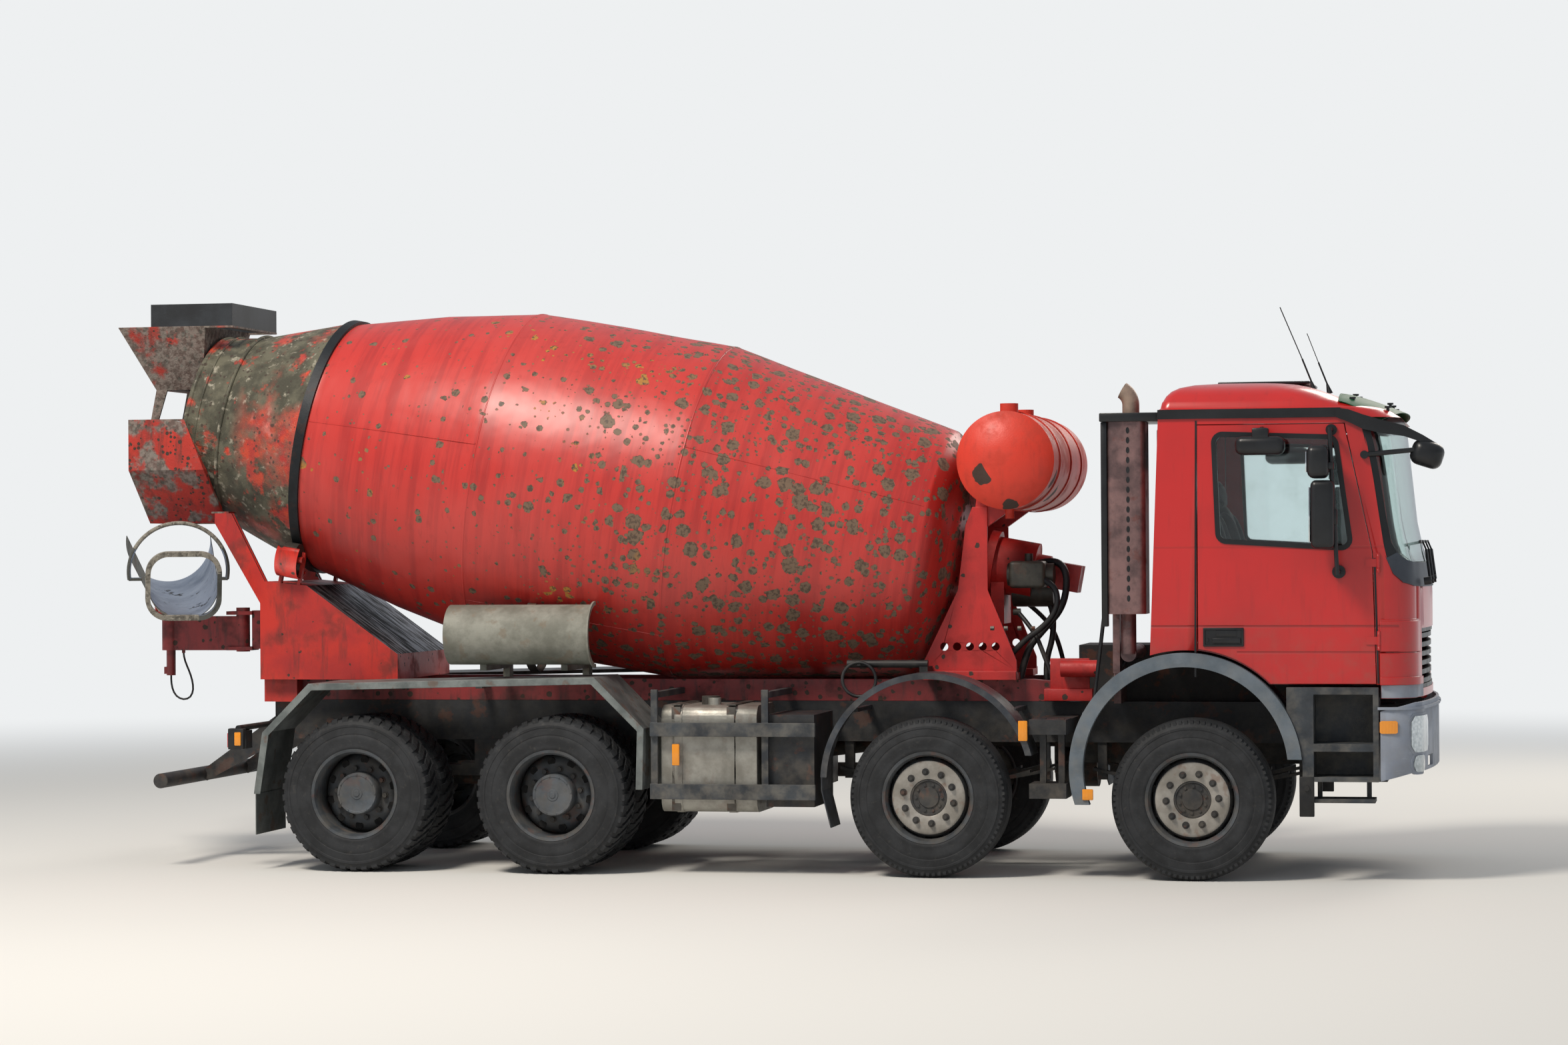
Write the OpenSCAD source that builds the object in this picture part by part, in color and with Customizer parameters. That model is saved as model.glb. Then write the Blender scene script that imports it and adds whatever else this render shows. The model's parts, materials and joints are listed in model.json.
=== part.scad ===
/* [Running gear] */
// Tyre outer diameter, which is twice the height of the axles
tyre_d = 1036; // [1000:4:1060]
// Tyre width across its walls
tyre_w = 300; // [280:5:315]
// Outer diameter of the rim flange
rim_d = 598; // [590:2:606]
// First steered axle to second steered axle
span_12 = 1700; // [1680:10:1800]
// Second steered axle to first driven axle
span_23 = 2500; // [2450:10:2600]
// First driven axle to second driven axle
span_34 = 1350; // [1300:10:1400]
// Centre line to the outer wall of a steered tyre
front_out = 1180; // [1170:2:1190]
// Centre line to the outer wall of a twin tyre
rear_out = 1250; // [1240:2:1260]
// Gap between the two tyres of a twin wheel
twin_gap = 44; // [36:2:60]
// Centre line to a king pin
king_y = 900; // [890:2:910]

/* [Chassis] */
// Top of the frame rails above the ground
rail_top = 1110; // [1100:2:1120]
// Height of a frame rail
rail_h = 270; // [240:5:290]
// Centre line to the outer face of a frame rail
rail_y = 400; // [390:2:410]
// Plate thickness of a frame rail
rail_t = 8; // [6:1:10]
// Width of a rail's flanges
rail_flange = 80; // [70:2:90]
// Height of the red subframe above the rails
sub_h = 146; // [120:2:160]

/* [Drum] */
// Angle of the drum's axis to the ground
drum_tilt = 10.35; // [9.5:0.05:11]
// Radius of the middle of the drum
drum_r = 1156; // [1100:2:1170]
// Thickness of the drum's shell
drum_wall = 8; // [5:1:12]
// Outer radius of the roller ring
ring_r = 896; // [890:1:905]
// Width of the roller ring
ring_w = 65; // [50:1:80]
// Radius of a support roller
roller_r = 110; // [100:2:120]
// Angle of each support roller from the drum's lowest line
roller_angle = 38; // [34:1:42]

/* [Cab] */
// Centre line to the outside of a cab wall
cab_y = 1150; // [1130:2:1160]
// Thickness of the cab walls and doors
cab_wall = 50; // [40:1:60]
// Gap round a door
door_gap = 6; // [5:1:8]
// Radius of the gap under the cab over the front wheel
cab_arch_r = 756; // [750:1:770]
// Outer radius of the front arch trim
arch_r = 740; // [730:1:745]

/* [Tanks] */
// Radius of the water tank
water_r = 320; // [280:2:330]
// Length of the water tank between its end domes
water_len = 1800; // [1600:10:1900]
// Length of the fuel tank
fuel_len = 640; // [500:10:680]

/* [Chute] */
// Radius of the chute's trough at its upper end
chute_r = 300; // [280:2:320]
// Slope of the chute
chute_slope = 12.8; // [11:0.1:14]
// Direction of the parked chute from straight ahead, turned to the right
chute_heading = 64.4; // [60:0.2:70]
// Height of the chute's tilt hinge above the ground
chute_z = 1800; // [1780:5:1820]

/* [Hidden] */
$fn = 48;

// Clearance between curved faces that run together
run_gap = 0.3;
red = "#b3201f";
cab_red = "#c4161c";
chassis_grey = "#2b3138";
plastic_grey = "#4a5560";
black = "#1b1b1d";
rubber_black = "#232323";
zinc = "#9a9c98";
steel = "#8d8f90";

tyre_r = tyre_d / 2;
axle_z = tyre_r;
axle_1 = 0;
axle_2 = axle_1 - span_12;
axle_3 = axle_2 - span_23;
axle_4 = axle_3 - span_34;
bogie_x = (axle_3 + axle_4) / 2;
rail_z = rail_top - rail_h;
rail_front = 1250;
rail_rear = -6400;
sub_top = rail_top + sub_h;

module both_sides() {
    children();
    mirror([0, 1, 0]) children();
}

// A block between two opposite corners
module block(low, high) translate(low) cube(high - low);

// A side view outline of x and z, drawn out from y0 to y1
module side_plate(outline, y0, y1)
    translate([0, y1, 0]) rotate([90, 0, 0]) linear_extrude(y1 - y0) polygon(outline);

// A front view outline of y and z, drawn out from x0 to x1
module cross_plate(outline, x0, x1)
    translate([x0, 0, 0]) rotate([90, 0, 90]) linear_extrude(x1 - x0) polygon(outline);

// A round bar along y
module bar_y(x, z, y0, y1, r)
    translate([x, y1, z]) rotate([90, 0, 0]) cylinder(h = y1 - y0, r = r);

// A round bar along x
module bar_x(y, z, x0, x1, r)
    translate([x0, y, z]) rotate([0, 90, 0]) cylinder(h = x1 - x0, r = r);

// A round bar between any two points
module rod(p, q, r) {
    d = q - p;
    flat = norm([d[0], d[1]]);
    translate(p) rotate([0, atan2(flat, d[2]), atan2(d[1], d[0])]) cylinder(h = norm(d), r = r);
}

// Points on an arc from angle a0 to angle a1, both ends included
function arc(cx, cy, r, a0, a1, n = 8) =
    [for (i = [0:n]) [cx + r * cos(a0 + (a1 - a0) * i / n), cy + r * sin(a0 + (a1 - a0) * i / n)]];

// Rows of x, z and the inward directions of both, moved inward by t
function inset(rows, t) = [for (p = rows) [p[0] + t * p[2], p[1] + t * p[3]]];

// A rectangle with round corners, about its middle
module round_rect(w, h, r) {
    square([w - 2 * r, h], center = true);
    square([w, h - 2 * r], center = true);
    for (x = [-1, 1], y = [-1, 1]) translate([x * (w / 2 - r), y * (h / 2 - r)]) circle(r);
}

// Frame rails, cross members and the brackets bolted to them
cross_members = [1180, -2950, bogie_x, -6340];
cross_w = 80;
cross_h = 180;
mount_x = [-500, 500];
mount_w = 100;
mount_z = 900;
engine_y = 300;
hinge_x = 1435;
hinge_z = 1165;
hinge_pin_r = 12;
hinge_boss_r = 24;
hinge_clear = 6;
bracket_back = 1080;
bracket_y = 410;
bracket_t = 30;
ear_t = 30;
tow_bolts = [160, 100];
tow_bolt_r = 10.5;
tow_z = 932;

module c_rail() difference() {
    block([rail_rear, rail_y - rail_flange, rail_z], [rail_front, rail_y, rail_top]);
    block([rail_rear - 1, rail_y - rail_flange - 1, rail_z + rail_t],
          [rail_front + 1, rail_y - rail_t, rail_top - rail_t]);
}

module cab_bracket() {
    difference() {
        union() {
            side_plate([[bracket_back, rail_z + 20], [rail_front, rail_z + 20],
                        [hinge_x + 8, hinge_z - hinge_boss_r + 2], [hinge_x - 18, hinge_z - hinge_boss_r + 8],
                        [hinge_x - 150, rail_top - 10], [bracket_back, rail_top - 20]],
                       rail_y, bracket_y + bracket_t);
            bar_y(hinge_x, hinge_z, rail_y, bracket_y + bracket_t, hinge_boss_r);
        }
        bar_y(hinge_x, hinge_z, rail_y - 1, bracket_y + bracket_t + 1, hinge_pin_r + run_gap);
    }
}

module frame_rails() color(chassis_grey) {
    both_sides() {
        c_rail();
        cab_bracket();
        for (x = mount_x)
            block([x - mount_w / 2, engine_y, mount_z], [x + mount_w / 2, rail_y - rail_t / 2, mount_z + mount_w]);
    }
    difference() {
        for (x = cross_members)
            block([x - cross_w / 2, -rail_y + rail_t / 2, rail_z + rail_t / 2],
                  [x + cross_w / 2, rail_y - rail_t / 2, rail_z + cross_h]);
        for (y = [-1, 1], z = [-1, 1])
            bar_x(y * tow_bolts[0] / 2, tow_z + z * tow_bolts[1] / 2, -6500, -6200, tow_bolt_r);
    }
}

// Red subframe: two long members on the rails, a fork at the front and cross tubes
sub_front = -900;
sub_w = 90;
sub_cross = [-1450, -2600, -3700, -4900, -5900];

module subframe() color(red) {
    both_sides()
        side_plate([[rail_rear, rail_top], [sub_front - 140, rail_top], [sub_front + 20, rail_top + 20],
                    [sub_front, sub_top - 20], [sub_front - 220, sub_top], [rail_rear, sub_top]],
                   rail_y - sub_w, rail_y);
    for (x = sub_cross)
        block([x - 40, -(rail_y - sub_w / 2), rail_top + 20], [x + 40, rail_y - sub_w / 2, sub_top - 60]);
}

// Engine and gearbox as one plain mass between the rails, with the radiator ahead of it
engine_rear = -820;
engine_front = 760;
engine_z = 700;
engine_top = 1480;
gearbox_rear = engine_rear - 620;
gearbox_y = 190;

module engine() color(steel) {
    block([engine_rear, -engine_y, engine_z], [engine_front, engine_y, engine_top]);
    block([gearbox_rear, -gearbox_y, 800], [engine_rear, gearbox_y, 1100]);
    block([engine_front, -engine_y + 20, 860], [engine_front + 180, engine_y - 20, 1440]);
}

// Beam axles with an eye for each king pin
beam_w = 90;
beam_h = 110;
eye_r = 45;
eye_h = 120;
king_r = 24;
beam_drop = 60;

module front_beam(x) translate([x, 0, axle_z]) {
    difference() {
        union() {
            block([-beam_w / 2, -(king_y - 160), -beam_drop - beam_h / 2],
                  [beam_w / 2, king_y - 160, -beam_drop + beam_h / 2]);
            for (s = [-1, 1]) {
                translate([0, s * king_y, -eye_h / 2]) cylinder(h = eye_h, r = eye_r);
                cross_plate([[s * (king_y - 200), -beam_drop - beam_h / 2],
                             [s * (king_y - eye_r - 15), -eye_h / 2],
                             [s * (king_y - 10), -eye_h / 2],
                             [s * (king_y - 10), eye_h / 2],
                             [s * (king_y - 200), -beam_drop + beam_h / 2]],
                            -beam_w / 2 + 5, beam_w / 2 - 5);
            }
        }
        for (s = [-1, 1])
            translate([0, s * king_y, -eye_h]) cylinder(h = 2 * eye_h, r = king_r + run_gap);
    }
}

module front_axles() color(black) for (x = [axle_1, axle_2]) front_beam(x);

// Driven axles: a round housing, the bowl of the gear, and the shafts between them
housing_r = 75;
bowl_r = 210;
bowl_w = 240;
rear_hub_y = 690;
rear_spindle_y = 1010;
rear_spindle_r = 50;
shaft_r = 50;
joint_x = -2600;
joint_z = 760;

module rear_axle(x) {
    bar_y(x, axle_z, -rear_hub_y, rear_hub_y, housing_r);
    bar_y(x, axle_z, -rear_spindle_y, rear_spindle_y, rear_spindle_r);
    bar_y(x, axle_z, -bowl_w / 2, bowl_w / 2, bowl_r);
    bar_x(0, axle_z + 40, x, x + bowl_r + 110, 95);
}

module rear_axles() color(black) {
    rear_axle(axle_3);
    rear_axle(axle_4);
    bar_x(0, axle_z + 40, axle_4 + bowl_r, axle_3, shaft_r);
    rod([axle_3 + bowl_r + 100, 0, axle_z + 40], [joint_x, 0, joint_z], shaft_r);
    bar_x(0, joint_z, joint_x - 40, joint_x + 40, 80);
    rod([joint_x, 0, joint_z], [gearbox_rear - 8, 0, 900], shaft_r);
}

// Leaf springs: one pack over each steered axle, and one bogie pack on a trunnion each side
leaf_w = 90;
leaf_t = 18;
spring_y = 355;
leaf_half = [720, 560, 400, 260];
bogie_half = [700, 560, 430, 300, 190];
spring_seat_z = axle_z - beam_drop + beam_h / 2;
bogie_seat_z = axle_z + housing_r + run_gap;

module leaf(x, half, z, camber) {
    r = (half * half + camber * camber) / (2 * camber);
    translate([x, 0, z]) intersection() {
        translate([0, 0, r]) difference() {
            bar_y(0, 0, spring_y - leaf_w / 2, spring_y + leaf_w / 2, r);
            bar_y(0, 0, spring_y - leaf_w, spring_y + leaf_w, r - leaf_t);
        }
        block([-half, spring_y - leaf_w, -1], [half, spring_y + leaf_w, camber + leaf_t]);
    }
}

module leaf_springs() color(black) both_sides() {
    for (x = [axle_1, axle_2]) {
        for (i = [0:len(leaf_half) - 1])
            leaf(x, leaf_half[i], spring_seat_z + (len(leaf_half) - 1 - i) * (leaf_t - 1), 90);
        block([x - 60, spring_y - leaf_w / 2, spring_seat_z], [x + 60, spring_y + leaf_w / 2, spring_seat_z + 85]);
        for (s = [-1, 1])
            block([x + s * 660 - 30, spring_y - 30, spring_seat_z + 80], [x + s * 660 + 30, spring_y + 30, rail_z]);
    }
    block([bogie_x - 90, spring_y - 50, bogie_seat_z + 40], [bogie_x + 90, spring_y + 50, rail_z]);
    for (i = [0:len(bogie_half) - 1])
        block([bogie_x - bogie_half[i], spring_y - 45, bogie_seat_z + i * leaf_t],
              [bogie_x + bogie_half[i], spring_y + 45, bogie_seat_z + (i + 1) * leaf_t]);
}

// Ring along y between two radii
module ring_y(x, z, y0, y1, r0, r1) difference() {
    bar_y(x, z, y0, y1, r1);
    bar_y(x, z, y0 - 1, y1 + 1, r0);
}

// Plan of the nose: round front corners and a slight bow, drawn t inside the outer face
nose_corner = 230;
nose_bow_r = 6000;
corner_back = 75;

module nose_plan(front, half_w, back, t) intersection() {
    translate([back + t, -half_w]) square([front - back, 2 * half_w]);
    union() {
        translate([back + t, -(half_w - t)])
            square([front - corner_back - nose_corner - back - t, 2 * (half_w - t)]);
        translate([back + t, -(half_w - nose_corner)])
            square([front - back, 2 * (half_w - nose_corner)]);
        for (s = [-1, 1])
            translate([front - corner_back - nose_corner, s * (half_w - nose_corner)]) circle(nose_corner - t);
    }
    translate([front - nose_bow_r, 0]) circle(nose_bow_r - t, $fn = 240);
}

module nose_block(front, half_w, back, t, z0, z1)
    translate([0, 0, z0]) linear_extrude(z1 - z0) nose_plan(front, half_w, back, t);

// Bumper: an open shell round the front end, with a hole for each headlamp
bumper_front = 1520;
bumper_back = 1186;
bumper_y = 1180;
bumper_z = 640;
bumper_top = 1140;
bumper_t = 20;
lamp_y = [880, 1080];
lamp_z = [820, 1040];
lamp_depth = 110;
lamp_back = 1310;

module lamp_slot() block([lamp_back, lamp_y[0], lamp_z[0]], [1600, lamp_y[1], lamp_z[1]]);

module bumper() color(plastic_grey) {
    difference() {
        intersection() {
            nose_block(bumper_front, bumper_y, bumper_back, 0, bumper_z, bumper_top);
            side_plate([[1170, 640], [1400, 700], [1540, 700], [1540, bumper_top], [1400, bumper_top],
                        [1170, bumper_top - 60]], -1300, 1300);
        }
        nose_block(bumper_front, bumper_y, bumper_back - 2 * bumper_t, bumper_t, bumper_z - 1, bumper_top + 1);
        both_sides() lamp_slot();
        both_sides() block([1300, 560, 720], [1600, 780, 790]);
    }
    both_sides() block([rail_front, 340, 900], [1499, rail_y, 1000]);
}

module headlamps() color("white") both_sides() intersection() {
    lamp_slot();
    difference() {
        nose_block(bumper_front, bumper_y, bumper_back, 3, bumper_z, bumper_top);
        nose_block(bumper_front, bumper_y, bumper_back - 300, lamp_depth, bumper_z - 1, bumper_top + 1);
    }
}

// Round gap over the first wheels: trim, liner and step well share its centre
arch_x = -41;
arch_z = 714;
arch_band = 90;
arch_liner = 6;
trim_y = 1130;
trim_out = 1200;
liner_in = 700;
arch_rear_z = 484;
arch_front_z = 780;

module front_arches() color(plastic_grey) both_sides() {
    difference() {
        union() {
            ring_y(arch_x, arch_z, trim_y, trim_out, arch_r - arch_band, arch_r);
            ring_y(arch_x, arch_z, liner_in, trim_y, arch_r - arch_liner, arch_r);
        }
        block([arch_x, 0, -100], [1000, 1400, arch_front_z]);
        block([-1000, 0, -100], [arch_x + 1, 1400, arch_rear_z]);
    }
    difference() {
        block([-700, rail_y, 1040], [-660, trim_y + 10, 1070]);
        bar_y(arch_x, arch_z, 0, 1400, arch_r - arch_liner);
    }
}

// Step wells under the doors
well_front = 1176;
well_in = 870;
well_out = 1180;
well_z = 640;
well_top = 1236;

module step_wells() color(plastic_grey) both_sides() {
    difference() {
        block([600, well_in, well_z], [well_front, well_out, well_top]);
        bar_y(arch_x, arch_z, 0, 1400, arch_r + run_gap);
        block([770, well_in + 40, 880], [1140, well_out + 1, 1190]);
        block([770, well_in + 40, 670], [1140, well_out + 1, 830]);
    }
    for (x = [780, 1090])
        block([x, well_in + 60, 530], [x + 30, well_in + 90, well_z]);
    block([750, well_in + 40, 505], [1150, well_out - 30, 530]);
    block([880, rail_y, 900], [940, well_in, 960]);
}

// Mid fenders over the second axle, with a rolled lip and a mud flap
mid_r = 700;
mid_z = 625;
mid_in = 860;
mid_out = 1195;

module mid_fenders() color(black) both_sides() {
    difference() {
        union() {
            ring_y(axle_2, mid_z, mid_in, mid_out, mid_r - 6, mid_r);
            ring_y(axle_2, mid_z, mid_out - 12, mid_out, mid_r - 40, mid_r);
        }
        block([axle_2, 0, -100], [0, 1400, 796]);
        block([axle_2 - 1000, 0, -100], [axle_2 + 1, 1400, 648]);
    }
    side_plate([[axle_2 - mid_r, 700], [axle_2 - mid_r, 560], [axle_2 - mid_r + 60, 320],
                [axle_2 - mid_r + 68, 320], [axle_2 - mid_r + 8, 560], [axle_2 - mid_r + 8, 700]],
               mid_in, mid_out - 20);
    for (x = [axle_2 - 520, axle_2 + 520])
        block([x - 20, rail_y, 1060], [x + 20, mid_in + 60, 1085]);
}

// Rear fenders: a folded sheet over both driven axles, with a lip outside and mud flaps
fender_rows = [
    [axle_4 - 700, 515, 1, 0], [axle_4 - 640, 925, 1, -0.4], [axle_4 - 315, 1252, 0.5, -1],
    [axle_3 + 302, 1295, -0.5, -1], [axle_3 + 635, 962, -1, -0.4], [axle_3 + 624, 562, -1, 0]
];
fender_in = 600;
fender_t = 5;
fender_lip = 45;

module fender_band(t, y0, y1)
    side_plate(concat(fender_rows_outer(), reverse_rows(inset(fender_rows, t))), y0, y1);
function fender_rows_outer() = inset(fender_rows, 0);
function reverse_rows(rows) = [for (i = [len(rows) - 1:-1:0]) rows[i]];

module rear_fenders() color(zinc) both_sides() {
    fender_band(fender_t, fender_in, rear_out);
    fender_band(fender_lip, rear_out - fender_t, rear_out);
    block([axle_4 - 700, fender_in + 40, 240], [axle_4 - 692, rear_out - 30, 515]);
    for (x = [axle_4 - 250, bogie_x, axle_3 + 250])
        block([x - 25, rail_y, sub_top - 60], [x + 25, fender_in, sub_top - 20]);
}

// Side guards between the second and third axles
guard_front = axle_2 - 730;
guard_rear = axle_2 - 1830;
guard_out = 1225;
guard_rails = [[500, 600], [910, 1000]];
guard_posts = [guard_rear, guard_front - 360];

module side_guards() color(plastic_grey) both_sides() {
    for (r = guard_rails)
        block([guard_rear, guard_out - 30, r[0]], [guard_front, guard_out, r[1]]);
    for (x = guard_posts) {
        block([x, guard_out - 60, 500], [x + 45, guard_out - 30, 1215]);
        block([x, rail_y, 1160], [x + 45, guard_out - 60, 1200]);
    }
}

// Fuel tank with its two straps and brackets, on the right
fuel_x = axle_2 - 1770;
fuel_y = [-1150, -560];
fuel_z = [410, 1110];
fuel_corner = 90;
strap_w = 50;
strap_t = 5;
strap_x = [90, fuel_len - 200];

module tank_section(t) translate([(fuel_y[0] + fuel_y[1]) / 2, (fuel_z[0] + fuel_z[1]) / 2])
    round_rect(fuel_y[1] - fuel_y[0] + 2 * t, fuel_z[1] - fuel_z[0] + 2 * t, fuel_corner + t);

module fuel_tank() color(zinc) {
    translate([fuel_x, 0, 0]) rotate([90, 0, 90]) linear_extrude(fuel_len) tank_section(0);
    for (x = strap_x) {
        translate([fuel_x + x, 0, 0]) rotate([90, 0, 90]) linear_extrude(strap_w) tank_section(strap_t);
        block([fuel_x + x, fuel_y[1] - 10, 880], [fuel_x + x + strap_w, -rail_y, 1080]);
    }
    translate([fuel_x + 320, -980, fuel_z[1] - 5]) cylinder(h = 50, r = 45);
}

// Battery box and step frame on the right, tool box and air tanks on the left
air_r = 140;

module battery_box() color(chassis_grey) {
    block([guard_front - 340, -1140, 450], [guard_front - 20, -500, 1050]);
    block([guard_front - 300, -500, 900], [guard_front - 60, -rail_y, 1000]);
    block([guard_front - 1000, 540, 470], [guard_front - 300, 1140, 1040]);
    block([guard_front - 900, rail_y, 900], [guard_front - 400, 540, 1000]);
    for (x = [-980, -860]) block([x, -1100, 520], [x + 40, -1060, 1030]);
    for (z = [520, 930]) block([-1040, -1180, z], [-800, -900, z + 95]);
    block([-1020, -900, 930], [-800, -rail_y, 1020]);
    for (z = [620, 930]) bar_x(640, z, -1090, -800, air_r);
    block([-1000, rail_y, 860], [-850, 560, 940]);
    block([-960, 600, 620], [-900, 680, 930]);
}

// Silencer in its shield behind the cab, with its stack and bracket
muffler_x = [-545, -292];
muffler_y = [-1110, -800];
muffler_z = [1700, 2936];
muffler_foot = 1310;
stack_r = 55;
stack_x = -400;
stack_y = -900;
elbow_r = 110;

module muffler() color(zinc) {
    translate([(muffler_x[0] + muffler_x[1]) / 2, (muffler_y[0] + muffler_y[1]) / 2, muffler_z[0]])
        linear_extrude(muffler_z[1] - muffler_z[0])
            round_rect(muffler_x[1] - muffler_x[0], muffler_y[1] - muffler_y[0], 60);
    translate([stack_x, stack_y, muffler_z[1]]) cylinder(h = elbow_r, r = stack_r);
    translate([stack_x - elbow_r, stack_y, muffler_z[1] + elbow_r]) rotate([90, 0, 0])
        rotate_extrude(angle = 60) translate([elbow_r, 0]) circle(stack_r);
    block([muffler_x[0], muffler_y[1], 1720], [muffler_x[0] + 45, muffler_y[1] + 60, 2500]);
    block([muffler_x[0], -740, muffler_foot], [muffler_x[0] + 45, -rail_y + 60, 1760]);
    block([muffler_x[0], -liner_in + 10, rail_top], [muffler_x[0] + 45, -rail_y + 60, muffler_foot]);
    translate([-420, -940, 1440]) cylinder(h = 260, r = 50);
    bar_y(-420, 1440, -960, -engine_y, 50);
}

// Front pedestal: two gussets on a base, a box between them and posts to the water tank
ped_y = 480;
ped_t = 20;
hole_count = 5;
hole_x = -1350;
hole_z = 1475;
hole_step = 86;
ped_hole_r = 27;
gusset = [[-1830, 1300], [-1210, 1300], [-1210, 1380], [-1400, 1850], [-1400, 2400], [-1500, 2400],
          [-1546, 2280], [-1600, 1850], [-1830, 1380]];
tank_x = -1220;
tank_z = 2700;
saddle_z = 2360;

module pedestal() color(red) {
    both_sides() {
        difference() {
            side_plate(gusset, ped_y, ped_y + ped_t);
            for (i = [0:hole_count - 1])
                bar_y(hole_x - i * hole_step, hole_z, ped_y - 1, ped_y + ped_t + 1, ped_hole_r);
        }
        block([-1830, rail_y - sub_w, sub_top], [-1210, ped_y + 60, 1300]);
        block([-1830, ped_y + ped_t, 1300], [-1210, ped_y + 60, 1312]);
        difference() {
            side_plate([[-1500, saddle_z - 90], [-1400, saddle_z - 90], [tank_x + 240, tank_z - 130],
                        [tank_x - 240, tank_z - 130]], ped_y - 40, ped_y);
            bar_y(tank_x, tank_z, 0, 1000, water_r + run_gap);
        }
    }
    block([-1590, -ped_y, 1560], [-1430, ped_y, 1780]);
}

// Drum's own frame: its axis is z, pointing up to the mouth at the rear
drum_x = -3000;
drum_z = 2307;
module on_drum() translate([drum_x, 0, drum_z]) rotate([0, drum_tilt - 90, 0]) children();

// Stations along the axis and outer radius of the shell
head_s = -1430;
ring_s = 3103;
rib_s = 3757;
rib_r = 14;
mouth_s = 4030;
shell_rows = [
    [-1370, 560], [-1290, 760], [-1196, 842], [409, drum_r - 2], [1200, drum_r + 6], [1790, drum_r],
    [2450, 1030], [ring_s - ring_w / 2, 876], [rib_s, 668], [mouth_s, 620]
];
bead_r = 20;
hub_r = 180;
hub_s = -1552;

function shell_side(t) = [for (p = shell_rows) [p[1] - t, p[0]]];

module drum_shell() color(red) on_drum() {
    rotate_extrude($fn = 96) polygon(concat(
        [[0, head_s]], [[320, head_s + 8]], shell_side(0),
        [for (i = [len(shell_rows) - 1:-1:0]) [shell_rows[i][1] - drum_wall, max(shell_rows[i][0], -1370 + 6)]],
        [[320, head_s + 8 + drum_wall], [0, head_s + drum_wall]]));
    translate([0, 0, hub_s]) cylinder(h = head_s - hub_s + 4, r = hub_r);
    translate([0, 0, rib_s]) rotate_extrude($fn = 96) translate([668 - drum_wall + rib_r, 0]) circle(rib_r, $fn = 24);
    translate([0, 0, mouth_s]) rotate_extrude($fn = 96) translate([620 - bead_r / 2, 0]) circle(bead_r, $fn = 24);
}

// Two mixing spirals welded along the inside of the shell, from the head to the mouth
blade_s = [-1050, 3960];
blade_h = [340, 190];
blade_t = 8;
blade_pitch = 1300;
blade_step = 15;
blade_gap = 0.6;

function shell_in(s) = lookup(s, [for (p = shell_rows) [p[0], p[1] - drum_wall - blade_gap]]);
function blade_in(s) = shell_in(s) - lookup(s, [[blade_s[0], blade_h[0]], [blade_s[1], blade_h[1]]]);
function blade_ring(s, start) = let (a = start + 360 * (s - blade_s[0]) / blade_pitch, low = s - blade_t / 2,
                                     high = s + blade_t / 2)
    [for (q = [[blade_in(s), low], [shell_in(low), low], [shell_in(high), high], [blade_in(s), high]])
        [q[0] * cos(a), q[0] * sin(a), q[1]]];

module blade(start) {
    n = ceil((blade_s[1] - blade_s[0]) / blade_pitch * 360 / blade_step);
    polyhedron(
        [for (i = [0:n]) each blade_ring(blade_s[0] + (blade_s[1] - blade_s[0]) * i / n, start)],
        concat([[3, 2, 1, 0]],
               [for (i = [0:n - 1], k = [0:3]) let (m = (k + 1) % 4)
                   [4 * i + m, 4 * i + 4 + m, 4 * i + 4 + k, 4 * i + k]],
               [[for (k = [0:3]) 4 * n + k]]));
}

module drum_blades() color(steel) on_drum() for (start = [0, 180]) blade(start);

module drum_ring() color(black) on_drum() difference() {
    translate([0, 0, ring_s - ring_w / 2]) cylinder(h = ring_w, r = ring_r, $fn = 96);
    translate([0, 0, ring_s - ring_w]) cylinder(h = 2 * ring_w, r = 876 + run_gap, $fn = 96);
}

// Support rollers, each on its own axle in a fork on the rear support
roller_w = 90;
roller_c = ring_r + roller_r + run_gap;
roller_axle_r = 25;

module on_roller(side) on_drum()
    translate([-roller_c * cos(roller_angle), side * roller_c * sin(roller_angle), ring_s]) children();

module roller(side) color(steel) on_roller(side) difference() {
    translate([0, 0, -roller_w / 2]) cylinder(h = roller_w, r = roller_r);
    translate([0, 0, -roller_w]) cylinder(h = 2 * roller_w, r = roller_axle_r + run_gap);
}
module roller_left() roller(1);
module roller_right() roller(-1);

// Gearbox and hydraulic motor on the pedestal
gear_s = hub_s - 6;
module drum_drive() color(steel) {
    on_drum() {
        translate([0, 0, gear_s - 60]) cylinder(h = 60, r = 225);
        translate([0, 0, gear_s - 330]) cylinder(h = 280, r = 190);
        translate([0, 0, gear_s - 420]) cylinder(h = 100, r = 120);
        translate([-90, -100, gear_s - 640]) cube([180, 200, 230]);
    }
    block([-1430, -160, 1620], [-1340, 160, 1900]);
}

// Water tank across the frame, with dished ends, bands and valve stubs
dome_r = 520;
band_y = [-600, 0, 600];

module water_tank() color(red) {
    bar_y(tank_x, tank_z, -water_len / 2, water_len / 2, water_r);
    dome_h = dome_r - sqrt(dome_r * dome_r - water_r * water_r);
    both_sides() intersection() {
        translate([tank_x, water_len / 2 + dome_h - dome_r, tank_z]) sphere(dome_r);
        bar_y(tank_x, tank_z, water_len / 2 - 1, water_len / 2 + dome_h + 1, water_r);
    }
    for (y = band_y) difference() {
        bar_y(tank_x, tank_z, y - 25, y + 25, water_r + 5);
        block([tank_x - 500, y - 60, tank_z - 500], [tank_x + 500, y + 60, tank_z - 120]);
    }
    translate([tank_x, -700, tank_z + water_r - 5]) cylinder(h = 60, r = 60);
    translate([tank_x, -700, tank_z - water_r - 60]) cylinder(h = 70, r = 30);
}

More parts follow.
